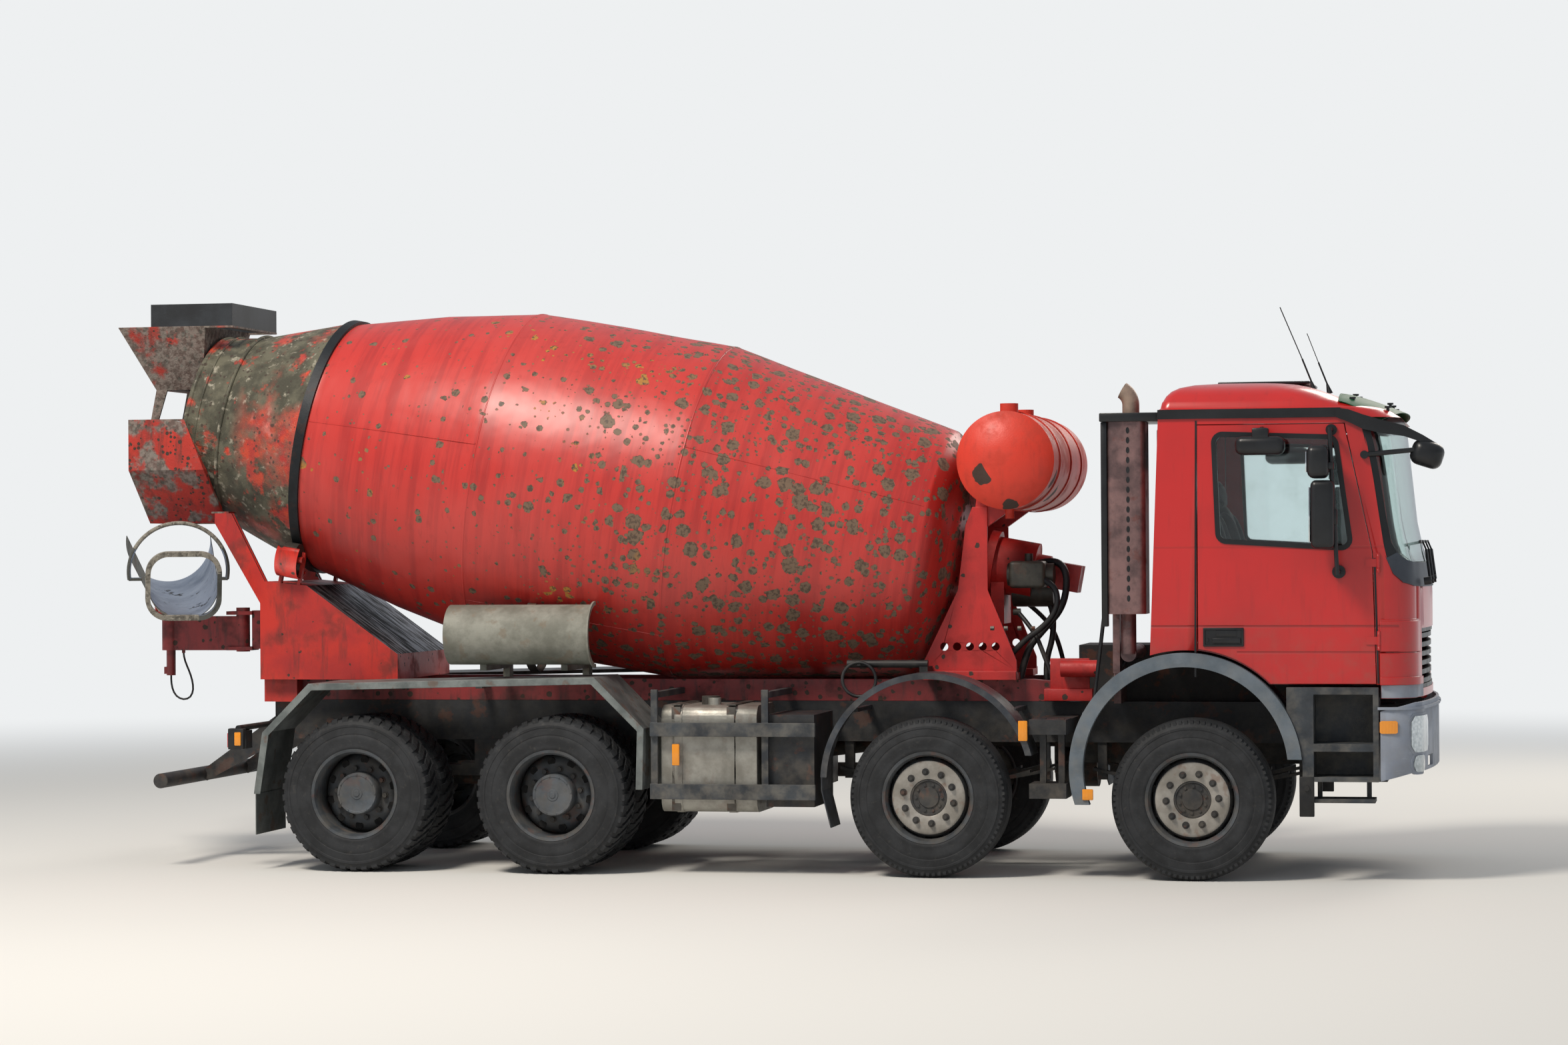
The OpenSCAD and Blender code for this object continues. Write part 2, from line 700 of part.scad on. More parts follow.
// Washing lance on its bracket
lance_y = -700;
lance_z = 1368;
hank_x = -2225;
hank_r = 112;
hank_t = 11;
module lance() color(steel) {
    bar_x(lance_y, lance_z, -2310, -1770, 26);
    for (x = [-1825, -1790]) block([x, lance_y, lance_z - 56], [x + 20, -540, lance_z - 20]);
    block([-1825, lance_y - 20, lance_z - 56], [-1770, lance_y + 20, lance_z - 10]);
    block([-1828, -540, 1312], [-1770, -510, lance_z - 20]);
    translate([hank_x, lance_y - 40, lance_z - hank_r + 10]) rotate([90, 0, 0])
        rotate_extrude() translate([hank_r, 0]) circle(hank_t);
    block([hank_x - 12, lance_y - 44, lance_z - 10], [hank_x + 12, lance_y, lance_z + 20]);
}

// Rear support: a plated box under the roller ring, struts up to the funnel
support_y = 600;
plate_t = 12;
support_side = [[-6435, sub_top], [-6435, 1780], [-6400, 1930], [-6100, 1900], [-5450, 1430], [-5450, sub_top]];
support_inner = [[-6423, 1180], [-6423, 1778], [-6390, 1917], [-6106, 1888], [-5462, 1423], [-5462, 1180]];
lug_z = 2400;
strut = [[-6400, 1780], [-6400, 1930], [-6640, lug_z], [-6760, lug_z], [-6760, lug_z - 70], [-6435, 1780]];
guard_w = roller_w + 68;
guard_t = 6;
guard_r = roller_r + 21;

module rear_support() color(red) {
    difference() {
        side_plate(support_side, -support_y, support_y);
        side_plate(support_inner, -support_y + plate_t, support_y - plate_t);
        on_drum() cylinder(h = 4000, r = ring_r + 25, $fn = 96);
        for (s = [-1, 1]) on_roller(s) translate([0, 0, -roller_w / 2 - 12])
            cylinder(h = roller_w + 24, r = roller_r + 15);
    }
    both_sides() {
        side_plate(strut, support_y - 60, support_y - 45);
        side_plate(strut, support_y - 12, support_y);
        block([-6435, rail_y, 1100], [-6200, rail_y + 120, sub_top]);
    }
    for (s = [-1, 1]) intersection() {
        on_roller(s) for (z = [-roller_w / 2 - 34, roller_w / 2 + 12]) difference() {
            union() {
                translate([0, 0, z]) cylinder(h = 22, r = 60);
                translate([-520, -60, z]) cube([520, 120, 22]);
            }
            translate([0, 0, z - 1]) cylinder(h = 24, r = roller_axle_r - 5);
        }
        block([-6430, -support_y + 1, 1500], [-5900, support_y - 1, 2300]);
    }
    for (s = [-1, 1]) on_roller(s) {
        translate([0, 0, -roller_w / 2 - 34]) cylinder(h = roller_w + 68, r = roller_axle_r);
        rotate([0, 0, 180 - s * roller_angle]) intersection() {
            difference() {
                translate([0, 0, -guard_w / 2]) cylinder(h = guard_w, r = guard_r);
                translate([0, 0, -guard_w]) cylinder(h = 2 * guard_w, r = guard_r - guard_t);
            }
            block([0, -guard_r - 1, -guard_w], [guard_r + 1, guard_r + 1, guard_w]);
        }
    }
}

// Charging hopper: a tapered bowl over the mouth, open above and towards the drum
hopper_t = 6;
hopper_y = 450;
hopper_low_y = 300;
hopper_top_x = [-7520, -6880];
hopper_low_x = [-7300, -6960];
hopper_z = [3270, 3705];
hopper_lip = 5;
hopper_frame_x = -6680;
gusset_t = 15;

module hopper_body(t) hull() {
    block([hopper_top_x[0] + t, -hopper_y + t, hopper_z[1] - hopper_lip],
          [hopper_top_x[1] - t, hopper_y - t, hopper_z[1] + t]);
    block([hopper_low_x[0] + t, -hopper_low_y + t, hopper_z[0] + t],
          [hopper_low_x[1] - t, hopper_low_y - t, hopper_z[0] + hopper_lip + t]);
}
module charge_hopper() color(red) {
    difference() {
        hopper_body(0);
        hopper_body(hopper_t);
        block([hopper_low_x[1] - 140, -hopper_low_y + 40, hopper_z[0] - 70],
              [hopper_low_x[1] + 60, hopper_low_y - 40, hopper_z[0] + 210]);
    }
    both_sides()
        side_plate([[funnel_x[0], funnel_top], [funnel_x[0] + 55, funnel_top], [hopper_low_x[0] + 80, hopper_z[0] + 4],
                    [hopper_low_x[0], hopper_z[0] + 4]], hopper_low_y - gusset_t, hopper_low_y);
    difference() {
        block([hopper_top_x[1] - 10, -hopper_y, hopper_z[1] - 13], [hopper_frame_x, hopper_y, hopper_z[1]]);
        block([hopper_top_x[1] - 11, -hopper_y + 40, hopper_z[1] - 15],
              [hopper_frame_x - 40, hopper_y - 40, hopper_z[1] + 5]);
    }
}

// Rubber collar round the top of the hopper
flap_t = 12;
flap_back = -7280;
flap_h = 155;

module hopper_flap() color(rubber_black) difference() {
    block([flap_back, -hopper_y + 1, hopper_z[1]], [hopper_frame_x - 2, hopper_y - 1, hopper_z[1] + flap_h]);
    block([flap_back + flap_t, -hopper_y + flap_t + 1, hopper_z[1] - 5],
          [hopper_frame_x - 2 - flap_t, hopper_y - flap_t - 1, hopper_z[1] + flap_h + 1]);
}

// Discharge funnel: cheeks either side of the mouth, running down to the chute
funnel_t = 8;
funnel_top_y = 712;
funnel_low_y = 430;
funnel_z = 2335;
funnel_x = [-7345, -6940];
funnel_top = 3050;
funnel_mid_x = -6800;
funnel_mid_z = 2700;
funnel_low_x = [-7300, -6740];

module funnel_body(t) hull() {
    block([funnel_x[0] + t, -funnel_top_y + t, funnel_top - 10], [funnel_x[1] - t, funnel_top_y - t, funnel_top + t]);
    block([funnel_x[0] + t, -funnel_top_y + t, funnel_mid_z],
          [funnel_mid_x - t, funnel_top_y - t, funnel_mid_z + 1]);
    block([funnel_low_x[0] + t, -funnel_low_y + t, funnel_z - t],
          [funnel_low_x[1] - t, funnel_low_y - t, funnel_z + 1]);
}
module discharge_funnel() color(red) {
    difference() {
        funnel_body(0);
        funnel_body(funnel_t);
        on_drum() translate([0, 0, ring_s]) cylinder(h = mouth_s - ring_s + 30, r = funnel_top_y, $fn = 96);
    }
    both_sides() block([-6785, 474, lug_z], [-6660, support_y, lug_z + plate_t]);
}

// Chute arm on the centre line: hinge housing, beam, sleeve for the swivel and the lifting jack
chute_x = -7320;
sleeve_r = 62;
pivot_r = 35;
sleeve_top = 1695;
jack_z = 1262;

module chute_arm() color(red) difference() {
    union() {
        block([-6700, -40, 1450], [-6435, 40, 1720]);
        translate([-6780, 0, 1430]) cylinder(h = 310, r = 48);
        for (z = [1440, 1690]) block([-6880, -70, z], [-6690, 70, z + 25]);
        block([chute_x, -45, 1440], [-6780, 45, 1680]);
        translate([chute_x, 0, 1440]) cylinder(h = sleeve_top - 1440, r = sleeve_r);
        translate([chute_x, 0, jack_z]) cylinder(h = 1440 - jack_z, r = 32);
        block([chute_x - 45, -20, jack_z + 10], [chute_x, 20, jack_z + 60]);
        translate([chute_x + 94, 0, 1420]) cylinder(h = 30, r = 12);
    }
    translate([chute_x, 0, 1460]) cylinder(h = 300, r = pivot_r + run_gap);
}

// Loop of hose from the foot of the jack to the beam: x from the swivel axis, y and z
hose_r = 7;
hose_route = [
    [0, 0, 1262], [0, 0, 1235], [2, 0, 1205], [8, 0, 1172], [20, 2, 1140], [38, 4, 1115],
    [62, 6, 1099], [90, 6, 1092], [118, 4, 1096], [141, 2, 1110], [156, 0, 1133], [163, 0, 1162],
    [162, 0, 1194], [156, 0, 1228], [146, 0, 1262], [133, 0, 1296], [118, 0, 1330], [105, 0, 1364],
    [97, 0, 1394], [94, 0, 1420]
];
hose_sides = 10;

function hose_dir(i) = let (n = len(hose_route), a = hose_route[max(i - 1, 0)], b = hose_route[min(i + 1, n - 1)])
    (b - a) / norm(b - a);
function hose_ring(i) = let (d = hose_dir(i), u = [0, 1, 0] - d[1] * d, uu = u / norm(u), v = cross(d, uu))
    [for (k = [0:hose_sides - 1]) hose_route[i] + [chute_x, 0, 0]
        + hose_r * (cos(360 * k / hose_sides) * uu + sin(360 * k / hose_sides) * v)];

module jack_hose() color(rubber_black) {
    n = len(hose_route);
    polyhedron(
        [for (i = [0:n - 1]) each hose_ring(i)],
        concat([[for (k = [0:hose_sides - 1]) k]],
               [for (i = [0:n - 2], k = [0:hose_sides - 1]) let (m = (k + 1) % hose_sides, a = i * hose_sides)
                   [a + k, a + hose_sides + k, a + hose_sides + m, a + m]],
               [[for (k = [hose_sides - 1:-1:0]) (n - 1) * hose_sides + k]]));
}

module on_chute() translate([chute_x, 0, chute_z]) rotate([0, 0, -chute_heading]) children();

// Swivel: its pin turns in the sleeve and its fork carries the chute
fork_y = 90;
fork_t = 20;
tilt_pin_r = 15;

module chute_swivel() color(red) on_chute() {
    translate([0, 0, 1470 - chute_z]) cylinder(h = sleeve_top + 2 - 1470, r = pivot_r);
    difference() {
        union() {
            translate([0, 0, sleeve_top + 2 - chute_z]) cylinder(h = 18, r = 115);
            both_sides() block([-45, fork_y, sleeve_top + 5 - chute_z], [45, fork_y + fork_t, 45]);
        }
        bar_y(0, 0, -200, 200, tilt_pin_r + run_gap);
    }
}

// Chute: a tapering trough with a hoop over it and a rounded ring at its outlet
trough_h = 360;
trough_back = -280;
trough_len = 1410;
trough_low_r = 235;
trough_t = 5;
trough_wrap = 196;
hoop_x = 660;
hoop_lift = 81;
lug_drop = 56;
ring_size = [2 * trough_low_r + 40, 2 * trough_low_r + 5];

// Outer radius of the trough at a distance along it
function trough_r(x) = chute_r + (trough_low_r - chute_r) * (x - trough_back) / trough_len;
hoop_r = trough_r(hoop_x) + hoop_lift;

// Turns its children about the trough's axis, which points along x
module along_trough(x, start) translate([x, 0, trough_h]) rotate([0, 90, 0]) rotate([0, 0, start]) children();

module main_chute() color(steel) on_chute() rotate([0, chute_slope, 0]) {
    along_trough(trough_back, -trough_wrap / 2) rotate_extrude(angle = trough_wrap)
        polygon([[chute_r, 0], [trough_low_r, trough_len], [trough_low_r - trough_t, trough_len],
                 [chute_r - trough_t, 0]]);
    translate([trough_back + trough_len - 20, 0, trough_h + 5]) rotate([90, 0, 90]) linear_extrude(40) difference() {
        round_rect(ring_size[0], ring_size[1], 150);
        round_rect(ring_size[0] - 64, ring_size[1] - 64, 120);
    }
    along_trough(hoop_x, 80) rotate_extrude(angle = 200) translate([hoop_r, 0]) circle(14, $fn = 20);
    both_sides() block([hoop_x - 10, trough_r(hoop_x) - 8, trough_h - lug_drop - 10],
                       [hoop_x + 10, hoop_r, trough_h - lug_drop + 10]);
    block([-60, -fork_y + 2, -30], [60, fork_y - 2, trough_h - chute_r + 14]);
    bar_y(0, 0, -fork_y - fork_t, fork_y + fork_t, tilt_pin_r);
}

// Spare chute section carried beside the drum
spare_x = [-4960, -3960];
spare_y = -950;
spare_z = 1570;
spare_r = 200;

module spare_chute() color(zinc) {
    difference() {
        union() {
            bar_x(spare_y, spare_z, spare_x[0], spare_x[1], spare_r);
            bar_x(spare_y, spare_z, spare_x[1] - 12, spare_x[1], spare_r + 22);
        }
        bar_x(spare_y, spare_z, spare_x[0] - 1, spare_x[1] + 1, spare_r - 5);
        block([spare_x[0] - 1, spare_y, 1000], [spare_x[1] + 1, spare_y + 400, 2000]);
    }
    for (x = [-4760, -4200]) {
        block([x, spare_y - 6, 1330], [x + 45, -rail_y + sub_w, 1374]);
        block([x, -rail_y, sub_top], [x + 45, -rail_y + sub_w, 1331]);
    }
}

// Underrun bar behind the frame, with the rear lamps on their own bar
bar_back = -6950;
module underrun_bar() color(chassis_grey) {
    bar_y(bar_back, 590, -1150, 1150, 50);
    both_sides() {
        side_plate([[-6390, 1000], [-6300, 860], [-6900, 545], [bar_back, 590], [-6900, 640]], rail_y, rail_y + 12);
        bar_y(-6380, 950, rail_y + 12, 1190, 20);
        block([-6440, 1000, 810], [-6350, 1220, 931]);
    }
}

// Cab outline seen from the side: x, z and the inward directions
cab_front = 1483;
cab_top = 3000;
cab_floor = 1252;
cab_low = 1165;
cab_step = 1190;
cab_rows = [
    [-270, cab_floor, 1, 1], [-200, cab_top, 1, 0.2], [1250, cab_top, -1, 0.2], [1323, cab_top - 70, -1, 0],
    [1394, 2253, -1, 0], [1470, 1950, -1, 0], [cab_front, 1780, -1, 0], [cab_front, cab_low, -1, 1],
    [cab_step, cab_low, 1, 1], [cab_step, cab_floor, 1, 1]
];
tunnel_y = 370;
tunnel_top = 1590;
tunnel_front = 1050;
tunnel_t = 30;

function rounded_corner(a, b, c, r, n) =
    let (u = (a - b) / norm(a - b), v = (c - b) / norm(c - b), half = acos(u * v) / 2,
         m = b + (u + v) / norm(u + v) * r / sin(half),
         s = b + u * r / tan(half) - m, e = b + v * r / tan(half) - m,
         a0 = atan2(s[1], s[0]), turn = atan2(e[1], e[0]) - a0,
         da = turn > 180 ? turn - 360 : turn < -180 ? turn + 360 : turn)
    [for (i = [0:n]) m + r * [cos(a0 + da * i / n), sin(a0 + da * i / n)]];
function rounded(points, r, n = 5) = let (k = len(points))
    [for (i = [0:k - 1]) each rounded_corner(points[(i + k - 1) % k], points[i], points[(i + 1) % k], r, n)];

module cab_body(t) difference() {
    intersection() {
        nose_block(cab_front, cab_y, -300, t, cab_low - 50, cab_top + 20);
        side_plate(inset(cab_rows, t), -cab_y - 50, cab_y + 50);
    }
    bar_y(arch_x, arch_z, -1300, 1300, cab_arch_r + t);
}

screen_y = 990;
screen_z = [1985, cab_top - 100];
module screen_slot() block([1150, -screen_y, screen_z[0]], [1600, screen_y, screen_z[1]]);

grille_y = 760;
grille_z = [1215, 1600];
module grille_slot() block([1400, -grille_y, grille_z[0]], [1600, grille_y, grille_z[1]]);

// Door outline and its window
door_low = cab_floor + door_gap;
door_rows = [[46, door_low, 1, 1], [46, cab_top - 100, 1, -1], [970, cab_top - 100, -1, -1], [1140, 2088, -1, 0],
             [1160, door_low, -1, 1]];
window = [[143, cab_top - 149], [921, cab_top - 178], [1019, 2105], [170, 2158]];
window_r = 60;
door_in = cab_y - cab_wall + door_gap;
door_hinge = [1180, cab_y + 14];
hinge_z_pair = [1500, 1990];
barrel_r = 11;
barrel_h = 60;
barrel_gap = 1;

module cab_shell() color(cab_red) difference() {
    union() {
        difference() {
            cab_body(0);
            cab_body(cab_wall);
            both_sides()
                bar_y(hinge_x, hinge_z, rail_y - hinge_clear, bracket_y + bracket_t + 1, hinge_boss_r + hinge_clear);
        }
        intersection() {
            cab_body(0);
            block([-300, -tunnel_y - tunnel_t, 1200],
                  [tunnel_front + tunnel_t, tunnel_y + tunnel_t, tunnel_top + tunnel_t]);
        }
        both_sides() {
            bar_y(hinge_x, hinge_z, bracket_y + bracket_t + 2, bracket_y + bracket_t + 2 + ear_t, hinge_boss_r);
            bar_y(hinge_x, hinge_z, rail_y, bracket_y + bracket_t + 4, hinge_pin_r);
            for (z = hinge_z_pair, start = [z - barrel_h / 2 - barrel_gap, z + barrel_h + barrel_gap]) {
                translate([door_hinge[0], door_hinge[1], start]) cylinder(h = barrel_h / 2, r = barrel_r);
                block([door_hinge[0] - 6, cab_y - 8, start],
                      [door_hinge[0] + 8, door_hinge[1], start + barrel_h / 2]);
            }
        }
    }
    block([-400, -tunnel_y, 1100], [tunnel_front, tunnel_y, tunnel_top]);
    screen_slot();
    grille_slot();
    both_sides()
        side_plate(concat([[door_rows[0][0] - door_gap, cab_low - 50]],
                          [for (i = [1:3]) inset([door_rows[i]], -door_gap)[0]],
                          [[door_rows[4][0] + door_gap, door_low], [door_rows[4][0] + door_gap, cab_low - 50]]),
                   cab_y - cab_wall, cab_y + 1);
}

// Roof panel, domed across and falling to the screen
roof_rise = 190;
roof_rows = [[-200, cab_top, 1, 0], [-155, cab_top + roof_rise - 50, 1, -0.8],
             [-60, cab_top + roof_rise - 12, 0.4, -1], [700, cab_top + roof_rise, 0, -1],
             [930, cab_top + roof_rise - 70, 0, -1], [1250, cab_top, -1.8, 0]];
roof_half = [[cab_y, cab_top, -1, 0], [cab_y - 38, cab_top + roof_rise - 70, -1, -0.8],
             [cab_y - 150, cab_top + roof_rise - 20, -0.4, -1], [400, cab_top + roof_rise, 0, -1]];
roof_cross = concat([for (p = roof_half) [-p[0], p[1], -p[2], p[3]]],
                    [for (i = [len(roof_half) - 1:-1:0]) roof_half[i]]);
roof_t = 40;

module roof_body(t) intersection() {
    side_plate(inset(roof_rows, t), -cab_y - 50, cab_y + 50);
    cross_plate(inset(roof_cross, t), -300, 1500);
}
module cab_roof() color(cab_red) difference() {
    roof_body(0);
    roof_body(roof_t);
}

module windscreen() color("slategray") intersection() {
    screen_slot();
    difference() {
        cab_body(12);
        cab_body(20);
    }
}

slat_count = 6;
module front_grille() color(black) intersection() {
    grille_slot();
    union() {
        difference() {
            cab_body(6);
            cab_body(30);
            block([1300, -grille_y + 30, grille_z[0] + 25], [1600, grille_y - 30, grille_z[1] - 25]);
        }
        for (i = [0:slat_count - 1]) intersection() {
            difference() {
                cab_body(12);
                cab_body(45);
            }
            block([1300, -grille_y, grille_z[0] + 30 + i * 58], [1600, grille_y, grille_z[0] + 60 + i * 58]);
        }
    }
}

visor_y = 1000;
module sun_visor() color("darkseagreen") {
    intersection() {
        side_plate([[1180, cab_top + 78], [1186, cab_top + 86], [1448, cab_top - 74], [1440, cab_top - 82]],
                   -visor_y, visor_y);
        nose_block(1440, cab_y, 0, 0, cab_top - 200, cab_top + 200);
    }
    for (y = [-0.7 * visor_y, 0, 0.7 * visor_y])
        side_plate([[1150, cab_top + 37.5], [1200, cab_top + 18.75], [1200, cab_top + 72], [1150, cab_top + 90]],
                   y - 12, y + 12);
}

arm_feet = [[1098, cab_top - 298], [1031, cab_top - 103]];
arm_r = 12;
front_mirror_x = [1530, 1600];
front_mirror_z = [cab_top - 384, cab_top - 248];

module front_mirror() color(black) {
    for (p = arm_feet) {
        bar_y(p[0], p[1], -cab_y - 34, -cab_y, 22);
        rod([p[0], -cab_y - 28, p[1]], [front_mirror_x[0] + 30, -cab_y - 10, front_mirror_z[1] - 37], arm_r);
    }
    block([front_mirror_x[0], -cab_y - 30, front_mirror_z[0]], [front_mirror_x[1], -cab_y + 250, front_mirror_z[1]]);
}

// Seats, dashboard and steering wheel
seat_y = 600;
seat_w = 480;
seat_side = [[180, 1700], [720, 1740], [730, 1860], [230, 1850], [110, 2400], [60, 2560], [-40, 2550], [60, 1900]];
wheel_r = 230;

module cab_interior() color(black) {
    both_sides() {
        side_plate(seat_side, seat_y - seat_w / 2, seat_y + seat_w / 2);
        difference() {
            block([220, seat_y - 160, cab_floor + cab_wall + run_gap], [560, seat_y + 160, 1720]);
            bar_y(arch_x, arch_z, 0, 1200, cab_arch_r + cab_wall + run_gap);
        }
    }
    intersection() {
        cab_body(cab_wall + 1);
        side_plate([[1090, 1720], [1500, 1640], [1500, 1965], [1180, 2040], [1080, 1980]], -1060, 1060);
    }
    rod([1120, seat_y, 1900], [820, seat_y, 2030], 30);
    translate([820, seat_y, 2030]) rotate([0, -25, 0]) {
        rotate_extrude() translate([wheel_r, 0]) circle(16, $fn = 20);
        for (a = [0, 120, 240]) rotate([0, 0, a]) translate([0, -18, -8]) cube([wheel_r, 36, 16]);
    }
}

// Doors, hung on barrels at their front edge
module door(side) color(cab_red) mirror([0, side < 0 ? 1 : 0, 0]) {
    difference() {
        side_plate(door_rows_plain(), door_in, cab_y);
        side_plate(rounded(window, window_r), door_in - 1, cab_y + 1);
        bar_y(arch_x, arch_z, 0, 1300, cab_arch_r + 12);
    }
    for (z = hinge_z_pair) {
        translate([door_hinge[0], door_hinge[1], z]) cylinder(h = barrel_h, r = barrel_r);
        block([1100, cab_y, z + 5], [1150, cab_y + 8, z + 55]);
        block([1149, cab_y + 3, z + 5], [door_hinge[0], cab_y + 8, z + 55]);
    }
}
function door_rows_plain() = inset(door_rows, 0);
module door_left() door(1);
module door_right() door(-1);

module door_glass(side) color("slategray") mirror([0, side < 0 ? 1 : 0, 0])
    side_plate(rounded(window, window_r), cab_y - 30, cab_y - 25);
module door_glass_left() door_glass(1);
module door_glass_right() door_glass(-1);

// Mirrors on each door
mirror_out = 1450;
mirror_w = 210;
mirror_pole = mirror_out - 80;
module mirrors(side) color(black) mirror([0, side < 0 ? 1 : 0, 0]) {
    rod([892, mirror_pole, 2864], [935, mirror_pole, 1953], 13);
    bar_y(893, 2850, cab_y, mirror_pole + 10, 12);
    bar_y(934, 1975, cab_y, mirror_pole + 10, 12);
    block([790, mirror_out - mirror_w, 2130], [905, mirror_out, 2530]);
    block([760, mirror_out - mirror_w, 2560], [900, mirror_out - 10, 2750]);
    block([311, mirror_pole - 100, 2710], [606, mirror_pole + 40, 2820]);
    bar_y(460, 2860, cab_y, mirror_pole - 20, 11);
    translate([460, mirror_pole - 30, 2810]) cylinder(h = 55, r = 9);
}
module mirrors_left() mirrors(1);
module mirrors_right() mirrors(-1);

// Knuckles: fork over the beam's eye, king pin, spindle, brake plate and steering arm
spindle_r = 35;
spindle_y = 185;
module knuckle(x, side) color(chassis_grey) translate([x, side * king_y, axle_z]) mirror([0, side < 0 ? 1 : 0, 0]) {
    translate([0, 0, -eye_h / 2 - 30]) cylinder(h = eye_h + 60, r = king_r);
    for (z = [-eye_h / 2 - 31, eye_h / 2 + 1]) {
        translate([0, 0, z]) cylinder(h = 30, r = 45);
        block([-45, 0, z], [45, 56, z + 30]);
    }
    block([-45, 50, -eye_h / 2 - 31], [45, 64, eye_h / 2 + 31]);
    bar_y(0, 0, 62, 74, 190);
    bar_y(0, 0, 60, spindle_y, spindle_r);
    block([-190, -20, -eye_h / 2 - 31], [0, 20, -eye_h / 2 - 8]);
}
module knuckle_1_left() knuckle(axle_1, 1);
module knuckle_1_right() knuckle(axle_1, -1);
module knuckle_2_left() knuckle(axle_2, 1);
module knuckle_2_right() knuckle(axle_2, -1);

// Wheels are drawn as radius and depth behind the outer wall
bead_seat = rim_d / 2 - 13;
barrel_in = bead_seat - 14;
nut_count = 10;
nut_r = 167.5;

function tyre_rows(u) = [
    [bead_seat, u - tyre_w + 24], [bead_seat + 22, u - tyre_w + 8], [400, u - tyre_w],
    [tyre_r - 40, u - tyre_w + 10], [tyre_r - 9, u - tyre_w + 32], [tyre_r, u - tyre_w + 62],
    [tyre_r, u - 62], [tyre_r - 9, u - 32], [tyre_r - 40, u - 10], [400, u],
    [bead_seat + 22, u - 8], [bead_seat, u - 24]
];
function barrel_rows(u) = [
    [bead_seat + 1, u - 22], [rim_d / 2, u - 20], [rim_d / 2, u - 10], [bead_seat - 4, u - 12],
    [barrel_in, u - 40], [barrel_in, u - tyre_w + 40], [bead_seat - 4, u - tyre_w + 12],
    [rim_d / 2, u - tyre_w + 10], [rim_d / 2, u - tyre_w + 20], [bead_seat + 1, u - tyre_w + 22]
];
front_disc = [[barrel_in + 4, -165], [238, -60], [232, -46], [110, -46], [110, -62], [222, -62], [barrel_in - 8, -172]];
outer_disc = [[barrel_in + 4, -236], [222, -172], [130, -162], [130, -178], [216, -188], [barrel_in - 10, -246]];
inner_disc = [[barrel_in + 4, -420], [232, -220], [210, -190], [130, -180], [130, -198], [204, -206], [220, -224],
              [barrel_in - 10, -426]];

module turned(rows) rotate([-90, 0, 0]) rotate_extrude($fn = 72) polygon(rows);
module on_axle(x, side, out) translate([x, 0, axle_z]) mirror([0, side < 0 ? 1 : 0, 0]) translate([0, out, 0]) children();

module steered_wheel(x, side) color(rubber_black) on_axle(x, side, front_out) {
    turned(tyre_rows(0));
    turned(barrel_rows(0));
    turned(front_disc);
    difference() {
        bar_y(0, 0, -200, -58, 118);
        bar_y(0, 0, -201, -90, spindle_r + run_gap);
    }
    for (i = [0:nut_count - 1]) rotate([0, i * 360 / nut_count, 0]) bar_y(nut_r, 0, -50, -20, 17);
}

hole_r = 24;
module twin_wheel(x, side) color(rubber_black) on_axle(x, side, rear_out) {
    for (u = [0, -tyre_w - twin_gap]) {
        turned(tyre_rows(u));
        turned(barrel_rows(u));
    }
    difference() {
        turned(outer_disc);
        for (i = [0:nut_count - 1]) rotate([0, i * 360 / nut_count, 0]) bar_y(222, 0, -300, -100, hole_r);
    }
    turned(inner_disc);
    difference() {
        bar_y(0, 0, -420, -60, 137);
        bar_y(0, 0, -421, -235, rear_spindle_r + run_gap);
    }
    for (i = [0:nut_count - 1]) rotate([0, i * 360 / nut_count, 0]) bar_y(nut_r, 0, -168, -135, 17);
}

module wheel_1_left() steered_wheel(axle_1, 1);
module wheel_1_right() steered_wheel(axle_1, -1);
module wheel_2_left() steered_wheel(axle_2, 1);
module wheel_2_right() steered_wheel(axle_2, -1);
module wheel_3_left() twin_wheel(axle_3, 1);
module wheel_3_right() twin_wheel(axle_3, -1);
module wheel_4_left() twin_wheel(axle_4, 1);
module wheel_4_right() twin_wheel(axle_4, -1);

// The truck is drawn from its first axle and then moved so that its middle is at the origin
front_reach = 1600;
rear_reach = chute_x - chute_r * sin(chute_heading)
    + (trough_back * cos(chute_slope) + trough_h * sin(chute_slope)) * cos(chute_heading);
mid_x = (front_reach + rear_reach) / 2;
module placed() translate([-mid_x, 0, 0]) children();

placed() frame_rails();
placed() subframe();
placed() engine();
placed() front_axles();
placed() rear_axles();
placed() leaf_springs();
placed() bumper();
placed() headlamps();
placed() step_wells();
placed() front_arches();
placed() mid_fenders();
placed() rear_fenders();
placed() side_guards();
placed() fuel_tank();
placed() battery_box();
placed() muffler();
placed() pedestal();
placed() drum_drive();
placed() water_tank();
placed() lance();
placed() rear_support();
placed() charge_hopper();
placed() hopper_flap();
placed() discharge_funnel();
placed() chute_arm();
placed() jack_hose();
placed() spare_chute();
placed() underrun_bar();
placed() drum_shell();
placed() drum_blades();
placed() drum_ring();
placed() roller_left();
placed() roller_right();
placed() chute_swivel();
placed() main_chute();
placed() cab_shell();
placed() cab_roof();
placed() windscreen();
placed() front_grille();
placed() sun_visor();
placed() front_mirror();
placed() cab_interior();
placed() door_left();
placed() door_right();
placed() door_glass_left();
placed() door_glass_right();
placed() mirrors_left();
placed() mirrors_right();
placed() knuckle_1_left();
placed() knuckle_1_right();
placed() knuckle_2_left();
placed() knuckle_2_right();
placed() wheel_1_left();
placed() wheel_1_right();
placed() wheel_2_left();
placed() wheel_2_right();
placed() wheel_3_left();
placed() wheel_3_right();
placed() wheel_4_left();
placed() wheel_4_right();
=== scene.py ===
# %% [markdown]
# An old concrete mixer truck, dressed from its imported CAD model.
# The frame gives every solid at its real place and size, in metres. This script adds what a
# frame can't hold: worn enamel, rust, dried concrete, tyre tread, bolts, lamps and wiring.
# Each step says what the real piece is, how it could be made, and why one way was chosen.

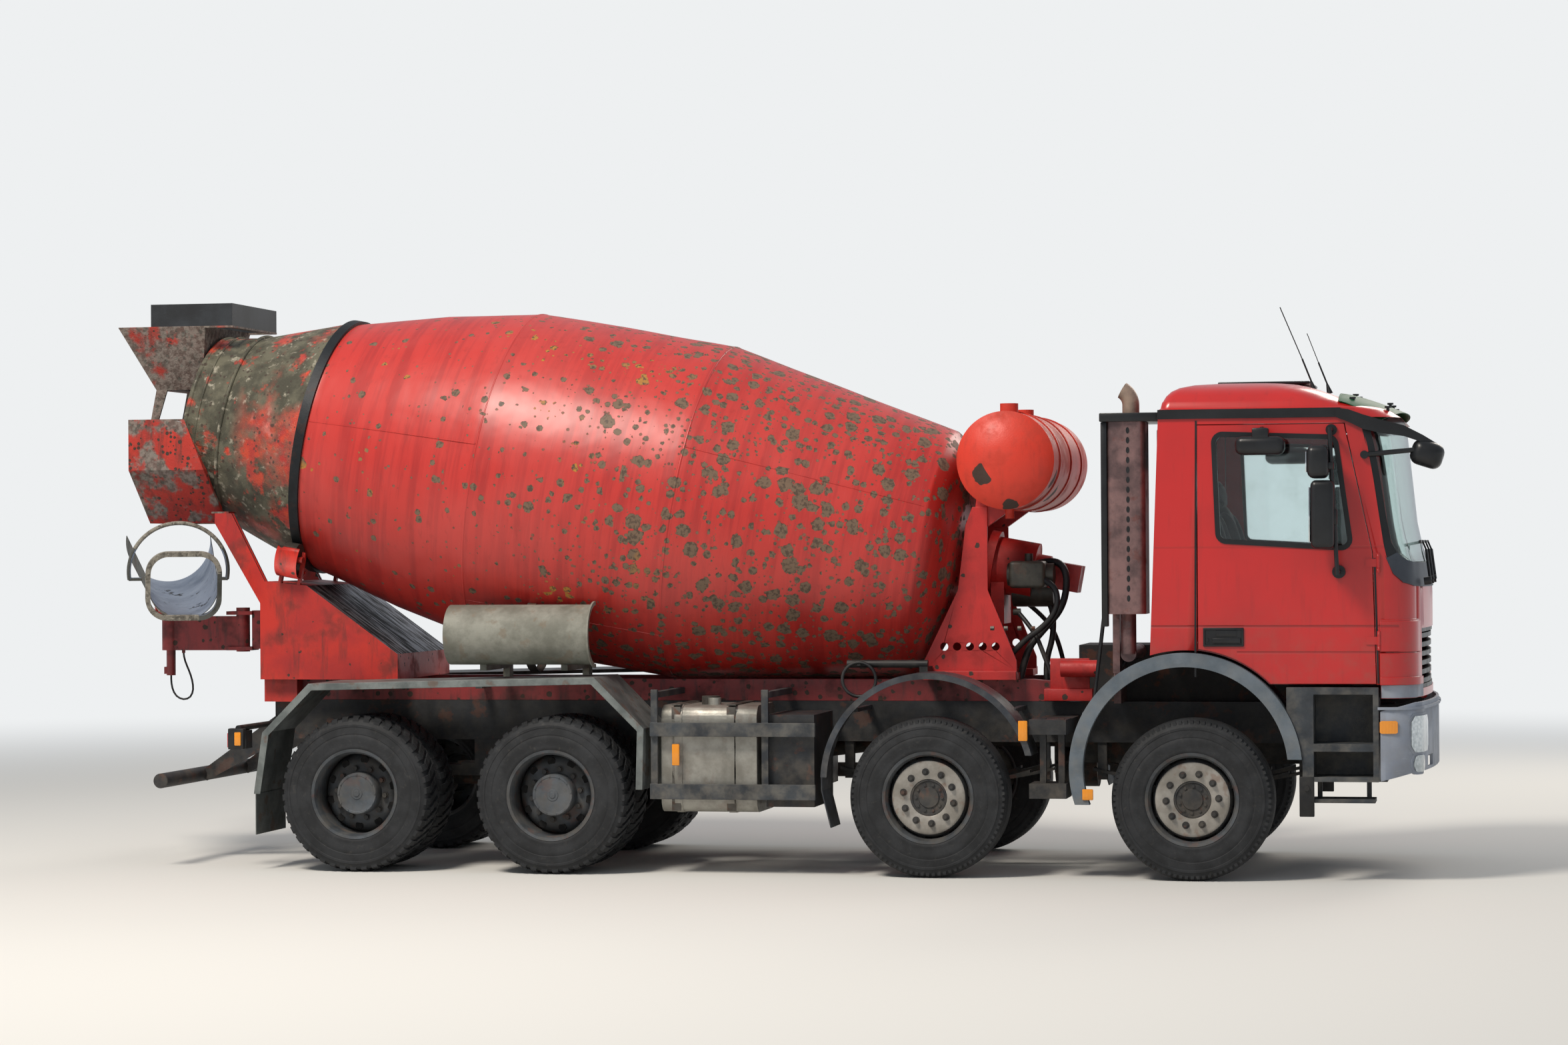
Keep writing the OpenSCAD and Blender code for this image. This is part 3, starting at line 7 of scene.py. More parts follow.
# %% Load the frame
import json
import math

import bmesh
import bpy
from mathutils import Euler, Matrix, Vector, noise


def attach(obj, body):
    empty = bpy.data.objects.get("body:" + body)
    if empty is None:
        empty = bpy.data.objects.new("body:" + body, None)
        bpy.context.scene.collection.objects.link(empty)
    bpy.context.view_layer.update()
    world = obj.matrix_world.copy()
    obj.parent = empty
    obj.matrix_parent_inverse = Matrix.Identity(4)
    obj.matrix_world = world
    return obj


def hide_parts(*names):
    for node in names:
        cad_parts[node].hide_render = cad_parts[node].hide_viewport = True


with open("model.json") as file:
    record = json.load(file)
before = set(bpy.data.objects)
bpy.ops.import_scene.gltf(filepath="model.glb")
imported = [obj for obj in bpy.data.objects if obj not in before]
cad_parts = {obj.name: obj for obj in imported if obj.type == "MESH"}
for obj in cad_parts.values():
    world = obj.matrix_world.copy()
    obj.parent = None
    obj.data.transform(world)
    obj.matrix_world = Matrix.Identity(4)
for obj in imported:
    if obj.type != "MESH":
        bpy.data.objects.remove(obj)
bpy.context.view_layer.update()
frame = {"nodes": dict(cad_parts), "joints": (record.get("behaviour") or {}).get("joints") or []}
scene = bpy.context.scene
nodes = frame["nodes"]
joint_at = {j["name"]: Vector(j["pos_m"]) for j in frame["joints"]}

# %% [markdown]
# The truck was measured from its first axle: x forwards, y to its left, z up. The model's own
# origin lies under the middle of its box, so one function turns a measured place into a point
# of the scene. The axle's place comes from the wheel's joint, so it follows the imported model.

# %% Places measured from the first axle
AXLE_HEIGHT = joint_at["wheel_1_left_spin"].z
SHIFT = joint_at["wheel_1_left_spin"].x


def at(x, y, z):
    """The scene's point for a place measured from the first axle, in metres."""
    return Vector((x + SHIFT, y, z))


AXLES = [joint_at[f"wheel_{i}_left_spin"].x - SHIFT for i in (1, 2, 3, 4)]
print("axles at", [round(a, 3) for a in AXLES], "shift", round(SHIFT, 4))

# %% [markdown]
# The camera was solved from the photograph: its place, its two angles and a slight roll. A long
# lens far away keeps the wheels nearly round. The shift stays at zero, so any view can reuse it.

# %% Camera
PHOTO_FOCAL_PX = 5370.805
PHOTO_WIDTH_PX = 2352
SENSOR_MM = 36.0
YAW, PITCH, ROLL = 0.20414, 0.00674, -0.00639
CAMERA_SPOT = (2.08726, -23.97966, 2.14593)
FAR_LIMIT = 500


def new_object(name, data):
    """A new object at the origin, linked to the scene."""
    made = bpy.data.objects.new(name, data)
    scene.collection.objects.link(made)
    return made


lens_data = bpy.data.cameras.new("photo_camera")
lens_data.sensor_width = SENSOR_MM
lens_data.lens = PHOTO_FOCAL_PX / PHOTO_WIDTH_PX * SENSOR_MM
lens_data.clip_end = FAR_LIMIT
camera = new_object("photo_camera", lens_data)
ahead = Vector((-math.sin(YAW) * math.cos(PITCH), math.cos(YAW) * math.cos(PITCH),
                math.sin(PITCH)))
level = Vector((math.cos(YAW), math.sin(YAW), 0))
upright = level.cross(ahead)
across = math.cos(ROLL) * level + math.sin(ROLL) * upright
above = -math.sin(ROLL) * level + math.cos(ROLL) * upright
turned = Matrix((across, above, -ahead)).transposed().to_4x4()
camera.matrix_world = Matrix.Translation(at(*CAMERA_SPOT)) @ turned
scene.camera = camera
print("lens", round(lens_data.lens, 2), "mm")

# %% [markdown]
# One function turns the hex colour that a paint chart or a photo editor shows into the linear
# values that the renderer works with. One more adds a shader node with its settings and links.
# A third starts a material from its shader's own sockets.
# Each helper finds the node tree from the socket that it is given.

# %% Colour and shader helpers
def tint(hex_colour):
    """The linear colour of a hex colour, with full alpha."""
    channels = [int(hex_colour[i:i + 2], 16) / 255 for i in (1, 3, 5)]
    linear = [c / 12.92 if c <= 0.04045 else ((c + 0.055) / 1.055) ** 2.4 for c in channels]
    return (*linear, 1.0)


def add(near, kind, inputs=None, **settings):
    """Adds a node to the tree that holds near, which is a socket, a node or the tree itself."""
    tree = near.id_data
    made = tree.nodes.new("ShaderNode" + kind)
    for name, value in settings.items():
        setattr(made, name, value)
    for key, value in (inputs or {}).items():
        if isinstance(value, bpy.types.NodeSocket):
            tree.links.new(value, made.inputs[key])
        else:
            made.inputs[key].default_value = value
    return made


def start_material(name, **sockets):
    """A new material, its shader and the coordinates of its object."""
    material = bpy.data.materials.new(name)
    material.use_nodes = True
    shader = material.node_tree.nodes["Principled BSDF"]
    for key, value in sockets.items():
        shader.inputs[key.replace("_", " ")].default_value = value
    return material, shader, add(shader, "TexCoord").outputs["Object"]


def feed(shader, name, value):
    shader.id_data.links.new(value, shader.inputs[name])


def maths(operation, a, b=0.0, c=0.0, clamp=False):
    near = next(v for v in (a, b, c) if isinstance(v, bpy.types.NodeSocket))
    inputs = {0: a, 1: b, 2: c}
    return add(near, "Math", inputs, operation=operation, use_clamp=clamp).outputs[0]


def stain(base, colour, amount, strength=None):
    """Mixes a colour over a base; each is a hex colour or a socket."""
    if strength is not None:
        amount = maths("MULTIPLY", amount, strength)
    base, colour = (tint(c) if isinstance(c, str) else c for c in (base, colour))
    return add(amount, "Mix", {0: amount, 6: base, 7: colour}, data_type="RGBA").outputs[2]


def ramp(value, low, high, out_low=0.0, out_high=1.0):
    """A smooth step from out_low at low to out_high at high."""
    return add(value, "MapRange", {0: value, 1: low, 2: high, 3: out_low, 4: out_high},
               interpolation_type="SMOOTHSTEP").outputs[0]


def stretched(place, scale):
    return add(place, "Mapping", {"Vector": place, "Scale": scale}).outputs[0]


def fractal(place, scale, detail, roughness=0.5):
    """Plain noise that repeats about scale times in a metre."""
    inputs = {"Vector": place, "Scale": scale, "Detail": detail, "Roughness": roughness}
    return add(place, "TexNoise", inputs).outputs["Fac"]


def cloud(place, size_mm, detail=3.0, stretch=(1, 1, 1), low=0.4, high=0.6, offset=0.0):
    """A soft-edged noise mask whose blotches are about size_mm across."""
    scaled = add(place, "Mapping", {"Vector": place, "Location": (offset, offset, offset),
                                    "Scale": [1 / s for s in stretch]}).outputs[0]
    return ramp(fractal(scaled, 1000 / size_mm, detail, 0.6), low, high)


def height_fade(place, low_m, high_m):
    """1 at low_m above the ground and below, 0 at high_m and above."""
    return ramp(add(place, "SeparateXYZ", {0: place}).outputs[2], low_m, high_m, 1.0, 0.0)


def bump(shader, height, depth_mm, under=None):
    """Raises the surface by height, over an earlier bump if one is given."""
    inputs = {"Height": height, "Distance": depth_mm / 1000, "Strength": 1.0}
    if under is not None:
        inputs["Normal"] = under
    raised = add(shader, "Bump", inputs).outputs[0]
    feed(shader, "Normal", raised)
    return raised


print("colour and shader helpers ready")

# %% [markdown]
# Every new piece starts as a bmesh, takes its smooth or flat shading and its material, and ends
# as an object at the origin with its place in its mesh, as the CAD nodes are. Faces are turned
# outwards after doubles are merged, because a spin can leave a shape inside out.

# %% Mesh helpers
SAME_SPOT = 1e-5


def turn_outwards(bm):
    bmesh.ops.remove_doubles(bm, verts=bm.verts, dist=SAME_SPOT)
    bmesh.ops.recalc_face_normals(bm, faces=bm.faces)


def mesh_of(bm, name, *materials):
    """Turns a bmesh into a mesh with its materials, and frees the bmesh."""
    mesh = bpy.data.meshes.new(name)
    bm.to_mesh(mesh)
    bm.free()
    for material in materials:
        mesh.materials.append(material)
    return mesh


def soften(mesh, sharp_deg):
    """Smooth shading, apart from edges that fold by more than sharp_deg."""
    mesh.shade_smooth()
    mesh.set_sharp_from_angle(angle=math.radians(sharp_deg))


def finish_piece(bm, name, body, *materials, smooth=35):
    turn_outwards(bm)
    piece = new_object(name, mesh_of(bm, name, *materials))
    soften(piece.data, smooth)
    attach(piece, body)
    return piece


def skin_rows(bm, rows, closed=False, ends=()):
    """Faces between neighbouring rows of points, and over the rows named in ends."""
    for first, second in zip(rows, rows[1:]):
        for k in range(len(first) if closed else len(first) - 1):
            n = (k + 1) % len(first)
            bm.faces.new((first[k], first[n], second[n], second[k]))
    for end in ends:
        bm.faces.new(rows[end])


def add_block(bm, low, high, bevel=0.0, segments=2):
    """A block between two corners, given from the first axle, with round edges."""
    low, high = at(*low), at(*high)
    made = bmesh.ops.create_cube(bm, size=1.0)["verts"]
    bmesh.ops.scale(bm, vec=high - low, verts=made)
    if bevel:
        edges = list({e for v in made for e in v.link_edges})
        rounded = bmesh.ops.bevel(bm, geom=edges, offset=bevel, segments=segments, profile=0.5,
                                  affect="EDGES", material=-1)
        made = list({v for f in rounded["faces"] for v in f.verts})
    bmesh.ops.translate(bm, vec=(low + high) / 2, verts=made)
    return made


def add_rod(bm, start, end, radius, sides, radius_end=None):
    """A round bar or cone between two points, given from the first axle."""
    start, end = at(*start), at(*end)
    along = end - start
    made = bmesh.ops.create_cone(bm, cap_ends=True, segments=sides, radius1=radius,
                                 radius2=radius if radius_end is None else radius_end,
                                 depth=along.length)["verts"]
    turn = Vector((0, 0, 1)).rotation_difference(along.normalized()).to_matrix()
    bmesh.ops.rotate(bm, cent=(0, 0, 0), matrix=turn, verts=made)
    bmesh.ops.translate(bm, vec=(start + end) / 2, verts=made)
    return made


def add_spin(bm, profile, centre, axis, sides):
    """Turns rows of (distance along axis, radius) about an axis through centre, in scene metres."""
    axis = Vector(axis).normalized()
    side = axis.orthogonal().normalized()
    line = [bm.verts.new(Vector(centre) + axis * s + side * r) for s, r in profile]
    edges = [bm.edges.new(pair) for pair in zip(line, line[1:])]
    bmesh.ops.spin(bm, geom=line + edges, cent=centre, axis=axis, angle=math.tau, steps=sides,
                   use_merge=True, use_duplicate=False)


def draw_curve(name, points, radius, kind, sides):
    """A round bar along points of the scene, as a curve object and its spline."""
    curve = bpy.data.curves.new(name, "CURVE")
    curve.dimensions = "3D"
    curve.bevel_depth = radius
    curve.bevel_resolution = sides
    curve.use_fill_caps = True
    spline = curve.splines.new(kind)
    spline.points.add(len(points) - 1)
    for spot, p in zip(spline.points, points):
        spot.co = (*p, 1.0)
    return new_object(name, curve), spline


def evaluated_mesh(piece):
    """The mesh of an object as its curve or its modifiers make it."""
    bpy.context.view_layer.update()
    shaped = piece.evaluated_get(bpy.context.evaluated_depsgraph_get())
    return bpy.data.meshes.new_from_object(shaped)


def add_tube(name, points, radius, body, material, sides=3):
    """A smooth pipe or hose through points given from the first axle, as a mesh."""
    drawn, spline = draw_curve(name, [at(*p) for p in points], radius, "NURBS", sides)
    drawn.data.resolution_u = 6
    spline.order_u = 3
    spline.use_endpoint_u = True
    mesh = evaluated_mesh(drawn)
    bpy.data.objects.remove(drawn)
    mesh.materials.clear()
    mesh.materials.append(material)
    mesh.shade_smooth()
    piece = new_object(name, mesh)
    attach(piece, body)
    return piece


def paint(material, *names):
    for name in names:
        nodes[name].data.materials.clear()
        nodes[name].data.materials.append(material)


print("helpers ready")

# %% [markdown]
# The drum is welded steel plate under old red enamel. The sun has faded it, and where the paint
# has flaked off in round scabs the bare plate has browned. The scabs are cells of a Voronoi
# pattern: each cell draws its own radius, and cells grow more likely towards the front cone.
# The drum's axis is tilted, so a Mapping node turns the pattern into the drum's own frame first.

# %% Drum enamel
DRUM_TILT = math.radians(10.35)
DRUM_CENTRE = at(-3.0, 0, 2.307)
DRUM_TURN = Euler((0, DRUM_TILT - math.pi / 2, 0))
RING_S = 3.103


def drum_place(place):
    """Object coordinates turned so that z runs along the drum's axis from its middle."""
    inputs = {"Vector": place, "Location": DRUM_CENTRE, "Rotation": DRUM_TURN}
    return add(place, "Mapping", inputs, vector_type="TEXTURE").outputs[0]


def scabs(place, cell_mm, largest, chance, ragged):
    """Round flakes with ragged edges: 1 inside a flake. chance is a number or a socket."""
    wobble = fractal(place, 1000 / (cell_mm * 0.28), 4.0)
    cells = add(place, "TexVoronoi", {"Vector": place, "Scale": 1000 / cell_mm, "Randomness": 1.0})
    parts = add(place, "SeparateColor", {0: cells.outputs["Color"]})
    radius = maths("MULTIPLY", maths("POWER", parts.outputs[0], 1.1), largest)
    there = maths("LESS_THAN", parts.outputs[1], chance)
    radius = maths("MULTIPLY", radius, there)
    edge = maths("MULTIPLY_ADD", maths("SUBTRACT", wobble, 0.5), ragged * 2.4,
                 cells.outputs["Distance"])
    return maths("MULTIPLY", ramp(maths("SUBTRACT", radius, edge), 0.0, 0.02), there)


def make_drum_enamel():
    material, shader, place = start_material("drum_enamel_flaking", Roughness=0.42, IOR=1.5,
                                             Coat_Weight=0.12, Coat_Roughness=0.3)
    inside = drum_place(place)
    s = add(place, "SeparateXYZ", {0: inside}).outputs[2]
    bands = stretched(inside, (0.5, 0.5, 9.0))
    wear = fractal(bands, 1.6, 5.0, 0.62)
    blotch = cloud(place, 900, detail=4.0, low=0.35, high=0.68)
    colour = stain("#B92B23", "#A3221D", ramp(wear, 0.42, 0.62))
    colour = stain(colour, "#C04640", blotch, 0.4)
    scratches = stretched(inside, (4, 4, 160))
    lines = fractal(scratches, 1.0, 6.0, 0.7)
    colour = stain(colour, "#CF6A62", ramp(lines, 0.58, 0.75), 0.25)
    # shallow rust runs hang from the flakes and from the seams
    runs = stretched(place, (9, 9, 1.1))
    streak = fractal(runs, 2.2, 4.0, 0.65)
    colour = stain(colour, "#8F2620", ramp(streak, 0.56, 0.72), 0.35)
    front = ramp(s, 1.5, -0.2, 0.03, 0.95)
    big = scabs(inside, 105, 0.56, front, 0.2)
    small = scabs(inside, 58, 0.54, ramp(s, 2.6, 0.0, 0.12, 0.8), 0.16)
    specks = scabs(inside, 26, 0.50, ramp(s, 2.6, 0.0, 0.06, 0.3), 0.13)
    bare = maths("MAXIMUM", maths("MAXIMUM", big, small), maths("MULTIPLY", specks, 0.8))
    bare = maths("MULTIPLY", bare, ramp(s, 3.15, 3.05))
    ochre = cloud(place, 420, detail=1.0, low=0.55, high=0.66, offset=3.0)
    plate = stain("#6E5A48", "#A9742C", ochre, ramp(s, 0.3, 1.0))
    plate = stain(plate, "#4C3D31", cloud(place, 24, detail=5.0, low=0.45, high=0.62))
    colour = stain(colour, plate, bare)
    # behind the ring the cone is caked with dried slurry, thinner where the ring's guard rubs
    rear = ramp(s, 3.06, 3.09)
    crust = cloud(inside, 520, detail=8.0, low=0.30, high=0.50, offset=1.7)
    crust = maths("MAXIMUM", crust, ramp(s, 3.42, 3.7))
    thin = cloud(inside, 120, detail=9.0, low=0.30, high=0.42, offset=5.0)
    bald = cloud(inside, 420, detail=9.0, low=0.54, high=0.60, offset=7.3)
    crust = maths("MULTIPLY", maths("MULTIPLY", crust, thin),
                  maths("SUBTRACT", 1.0, maths("MULTIPLY", bald, 0.9)))
    slurry = stain("#5F5C4C", "#3F3D31", cloud(inside, 160, detail=7.0, low=0.38, high=0.62))
    slurry = stain(slurry, "#9A9484", cloud(inside, 60, detail=6.0, low=0.56, high=0.7))
    hot = stain("#BF3C1F", "#A62C22", cloud(inside, 90, detail=5.0))
    hot = stain(hot, "#C96A5E", cloud(inside, 240, detail=3.0, low=0.58, high=0.66, offset=9.0))
    caked = stain(hot, slurry, crust)
    pits = scabs(inside, 30, 0.5, 0.4, 0.12)
    caked = stain(caked, "#3A2C24", pits, 0.8)
    colour = stain(colour, caked, rear)
    feed(shader, "Base Color", colour)
    feed(shader, "Roughness",
         ramp(maths("MAXIMUM", bare, maths("MULTIPLY", rear, crust)), 0, 1, 0.40, 0.85))
    dents = fractal(inside, 3.4, 2.0)
    grit = fractal(place, 140.0, 5.0)
    first = bump(shader, dents, 9)
    second = bump(shader, maths("SUBTRACT", 1.0, bare), 1.6, first)
    rough = maths("MULTIPLY", maths("ADD", grit, maths("MULTIPLY", crust, 1.2)), rear)
    bump(shader, rough, 4.0, second)
    return material


drum_enamel = make_drum_enamel()
print(drum_enamel.name, len(drum_enamel.node_tree.nodes), "nodes")

# %% [markdown]
# Red parts that stand low or near the mixer share one worn enamel: paint on steel with grime in
# patches, chips down to dark plate, and dust that thickens towards the ground. The amounts differ
# from piece to piece, so one function makes each of them from its own hex colour and its dirt.

# %% Worn enamel on steel
def worn_enamel(name, paint_hex, fade_hex, grime_hex, grime=0.4, chips=0.3, chip_mm=45, slurry=0.0,
                roughness=0.45):
    material, shader, place = start_material(name, Roughness=roughness, IOR=1.5)
    colour = stain(paint_hex, fade_hex, cloud(place, 380, detail=5.0, low=0.38, high=0.66))
    runs = cloud(place, 55, detail=5.0, stretch=(1, 1, 6), low=0.5, high=0.72, offset=2.0)
    colour = stain(colour, grime_hex, runs, grime)
    soil = cloud(place, 260, detail=8.0, low=0.5, high=0.66, offset=4.0)
    colour = stain(colour, grime_hex, soil, grime)
    chipped = scabs(place, chip_mm, 0.5, chips, 0.12)
    colour = stain(colour, "#3B2A22", chipped)
    if slurry:
        splash = cloud(place, 210, detail=10.0, low=0.62 - slurry * 0.25, high=0.68 - slurry * 0.2,
                       offset=6.0)
        cement = stain("#77726A", "#4F4B44", cloud(place, 35, detail=6.0))
        colour = stain(colour, cement, splash, 0.92)
    dust = maths("MULTIPLY", height_fade(place, 0.3, 1.4),
                 cloud(place, 160, detail=5.0, low=0.25, high=0.8))
    colour = stain(colour, "#6F675C", dust, 0.55)
    feed(shader, "Base Color", colour)
    matt = maths("MULTIPLY_ADD", soil, 0.28, roughness)
    feed(shader, "Roughness", maths("MULTIPLY_ADD", chipped, 0.2, matt, clamp=True))
    grain = fractal(place, 90.0, 6.0)
    wave = fractal(place, 4.5, 2.0)
    first = bump(shader, wave, 5)
    relief = maths("MULTIPLY_ADD", chipped, -0.8, grain)
    bump(shader, relief, 0.8 + 3 * slurry, first)
    return material


support_enamel = worn_enamel("support_enamel_scraped", "#BE2A1C", "#A32420", "#3A2722", grime=0.5,
                             chips=0.3)
frame_enamel = worn_enamel("subframe_enamel_sooty", "#8E2A2C", "#742527", "#2B2323", grime=0.65,
                           chips=0.35)
pedestal_enamel = worn_enamel("pedestal_enamel", "#BE2723", "#A82220", "#4A1F1D", grime=0.3,
                              chips=0.06)
hopper_enamel = worn_enamel("hopper_enamel_caked", "#A82C1C", "#8C281E", "#3A2F28", grime=0.8,
                            chips=0.55, chip_mm=34, slurry=1.15, roughness=0.7)
funnel_enamel = worn_enamel("funnel_enamel_rusted", "#B02817", "#96241A", "#33241D", grime=0.75,
                            chips=0.6, chip_mm=30, slurry=0.55, roughness=0.6)
tank_enamel = worn_enamel("water_tank_enamel", "#CC331D", "#B9321F", "#7C2A1C", grime=0.25,
                          chips=0.16, chip_mm=190, roughness=0.45)
print("enamels:", len([m for m in bpy.data.materials if "enamel" in m.name]))

# %% [markdown]
# The cab has younger, glossier paint: a smooth sprayed coat with a clear layer. It stays clean
# on the doors and gathers a little dust along its lower edge, so the height fade starts low.

# %% Cab paint
def make_cab_paint():
    material, shader, place = start_material("cab_paint_sprayed", Roughness=0.32, IOR=1.5,
                                             Coat_Weight=0.35, Coat_Roughness=0.12)
    colour = stain("#BE1D1A", "#B01D1A", cloud(place, 700, detail=3.0, low=0.35, high=0.7))
    film = maths("MULTIPLY", height_fade(place, 1.2, 1.9),
                 cloud(place, 90, detail=6.0, low=0.4, high=0.75))
    colour = stain(colour, "#8C4A3F", film, 0.45)
    specks = scabs(place, 70, 0.25, 0.05, 0.1)
    colour = stain(colour, "#5C2620", specks, 0.7)
    runs = cloud(place, 40, detail=4.0, stretch=(1, 1, 9), low=0.52, high=0.75, offset=2.5)
    colour = stain(colour, "#93211D", runs, 0.35)
    # pressed creases run along the doors at three heights; each is bumped in and darkened as
    # painted shade
    axes = add(place, "SeparateXYZ", {0: place})
    crease_and_shade = 0.0
    for height, start, depth in CAB_CREASES:
        off = maths("ABSOLUTE", maths("SUBTRACT", axes.outputs[2], height))
        ahead_of = maths("GREATER_THAN", axes.outputs[0], start + SHIFT)
        line = maths("MULTIPLY", ramp(off, 0.003, 0.011, depth, 0.0), ahead_of)
        crease_and_shade = maths("MAXIMUM", line, crease_and_shade)
    on_side = maths("GREATER_THAN", maths("ABSOLUTE", axes.outputs[1]), 1.13)
    crease_and_shade = maths("MULTIPLY", crease_and_shade, on_side)
    # painted shade: the paint darkens along each crease line
    colour = stain(colour, "#6E1110", crease_and_shade, 0.55)
    feed(shader, "Base Color", colour)
    wave = fractal(place, 2.6, 1.0)
    first = bump(shader, wave, 3)
    bump(shader, maths("SUBTRACT", 1.0, crease_and_shade), 4, first)
    return material


# height, start along the cab and depth of each crease; the depth sets both its bump and its painted
# shade
CAB_CREASES = [(1.620, -0.30, 1.0), (1.455, 0.29, 0.8), (2.120, -0.30, 0.35)]
cab_paint = make_cab_paint()
print(cab_paint.name)

# %% [markdown]
# The bumper, steps, arches and grille are moulded plastic, dyed grey-blue or black and chalked
# by the sun. Moulded plastic has a fine leather-like grain and no metallic glint, so the bump is
# small and sharp and dust lies on it in soft clouds.

# %% Moulded plastic and rubber
def moulded(name, base_hex, chalk_hex, roughness, dust, grain_mm=1.2):
    material, shader, place = start_material(name, Roughness=roughness, IOR=1.46)
    colour = stain(base_hex, chalk_hex, cloud(place, 300, detail=5.0, low=0.35, high=0.7))
    fall = maths("MULTIPLY", height_fade(place, 0.4, 2.4),
                 cloud(place, 120, detail=7.0, low=0.35, high=0.7))
    colour = stain(colour, "#8A8478", fall, dust)
    scuff = cloud(place, 30, detail=8.0, stretch=(4, 4, 1), low=0.6, high=0.72, offset=3.3)
    colour = stain(colour, chalk_hex, scuff, 0.5)
    feed(shader, "Base Color", colour)
    feed(shader, "Roughness", maths("MULTIPLY_ADD", fall, 0.25, roughness, clamp=True))
    grain = add(place, "TexVoronoi", {"Vector": place, "Scale": 1000 / (grain_mm * 4)})
    bump(shader, grain.outputs["Distance"], 0.25)
    return material


bumper_plastic = moulded("bumper_plastic_grey", "#848C9A", "#9AA1AC", 0.5, dust=0.3)
arch_plastic = moulded("arch_plastic_grey", "#4E5962", "#69737C", 0.48, dust=0.3)
step_plastic = moulded("step_plastic_dark", "#24282D", "#3A4046", 0.55, dust=0.4)
black_plastic = moulded("black_plastic_chalked", "#0F1012", "#1B1D20", 0.34, dust=0.06)
fender_plastic = moulded("mid_fender_plastic", "#20242B", "#3A4048", 0.32, dust=0.25)
hose_rubber = moulded("hose_rubber", "#121315", "#24262A", 0.5, grain_mm=0.8, dust=0.2)
collar_rubber = moulded("collar_rubber_splashed", "#17191C", "#2B2F34", 0.5, dust=0.0)
print("plastics and rubbers:", len(bpy.data.materials))

# %% [markdown]
# Rolled and pressed metal on a working truck is rarely bright. The chassis is dark paint under
# road dirt, the rear fenders are dull folded sheet with rust at their edges, and the parked chute
# section is grey with dried cement. Chutes are scoured bright inside by sliding concrete.

# %% Metals
def dull_metal(name, base_hex, dark_hex, rust=0.2, dirt=0.5, metallic=0.0, roughness=0.55,
               dust_top=1.5, rust_hex="#6B3A22", grain=1.0):
    material, shader, place = start_material(name, Roughness=roughness, Metallic=metallic)
    colour = stain(base_hex, dark_hex, cloud(place, 210, detail=7.0, low=0.36, high=0.66))
    smut = cloud(place, 46, detail=7.0, low=0.5, high=0.7, offset=1.0)
    colour = stain(colour, dark_hex, smut, dirt)
    rusty = maths("MULTIPLY", cloud(place, 130, detail=10.0, low=0.56, high=0.64, offset=8.0), rust)
    colour = stain(colour, rust_hex, rusty)
    dust = maths("MULTIPLY", height_fade(place, 0.2, dust_top),
                 cloud(place, 100, detail=6.0, low=0.3, high=0.75))
    colour = stain(colour, "#6B645A", dust, dirt)
    feed(shader, "Base Color", colour)
    feed(shader, "Roughness",
         maths("MULTIPLY_ADD", maths("MAXIMUM", rusty, dust), 0.3, roughness, clamp=True))
    pits = fractal(place, 60.0, 8.0, 0.65)
    wave = fractal(place, 5.0, 2.0)
    first = bump(shader, wave, 4 * grain)
    bump(shader, pits, 1.0 * grain, first)
    return material


chassis_paint = dull_metal("chassis_paint_dusty", "#23272C", "#15171A", rust=0.35, dirt=0.6)
axle_iron = dull_metal("axle_cast_iron", "#1D1E20", "#121212", rust=0.4, dirt=0.7, roughness=0.7)
fender_sheet = dull_metal("fender_sheet_zinc", "#7E8482", "#5A605F", rust=0.5, dirt=0.35,
                          metallic=0.35, roughness=0.5, dust_top=0.9, rust_hex="#6A4A38")
chute_zinc = dull_metal("parked_chute_cement", "#8A8A80", "#6A6A60", rust=0.45, dirt=0.45,
                        metallic=0.1, roughness=0.65, rust_hex="#7A6A58", grain=1.6)
fuel_alloy = dull_metal("fuel_tank_alloy", "#A6A49C", "#86847C", rust=0.15, dirt=0.35, metallic=0.6,
                        roughness=0.42)
shield_steel = dull_metal("silencer_shield_steel", "#8E6F6C", "#5C4B4B", rust=0.45, dirt=0.4,
                          metallic=0.7, roughness=0.38, rust_hex="#6E3B34")
exhaust_steel = dull_metal("exhaust_heat_stained", "#A08A7A", "#7A6A60", rust=0.6, dirt=0.3,
                           metallic=0.5, roughness=0.5, rust_hex="#8A5A48")
ring_iron = dull_metal("roller_ring_greased", "#202428", "#14161A", rust=0.1, dirt=0.4,
                       metallic=0.5, roughness=0.5)
roller_steel = dull_metal("roller_worn_steel", "#6C6862", "#47433E", rust=0.3, dirt=0.4,
                          metallic=0.7, roughness=0.4)
motor_iron = dull_metal("motor_oily_iron", "#4A4840", "#2B2A26", rust=0.2, dirt=0.6, roughness=0.5)
rear_rim = dull_metal("rear_rim_dusty", "#4A5056", "#33373B", rust=0.3, dirt=0.5, metallic=0.2,
                      roughness=0.55)
nut_disc = dull_metal("nut_disc_silver", "#A7A39C", "#88847C", rust=0.4, dirt=0.4, metallic=0.3,
                      roughness=0.5, rust_hex="#7A5038")
hub_iron = dull_metal("hub_cap_dark", "#2E3032", "#1C1D1F", rust=0.35, dirt=0.5, roughness=0.6)
blade_steel = dull_metal("mixing_blade_caked", "#6E665A", "#3E382F", rust=0.6, dirt=0.5,
                         roughness=0.8, grain=2.0)
bolt_steel = dull_metal("bolt_steel", "#6A6762", "#3D3A36", rust=0.6, dirt=0.4, metallic=0.6,
                        roughness=0.5)
print("metals ready:", len(bpy.data.materials), "materials")
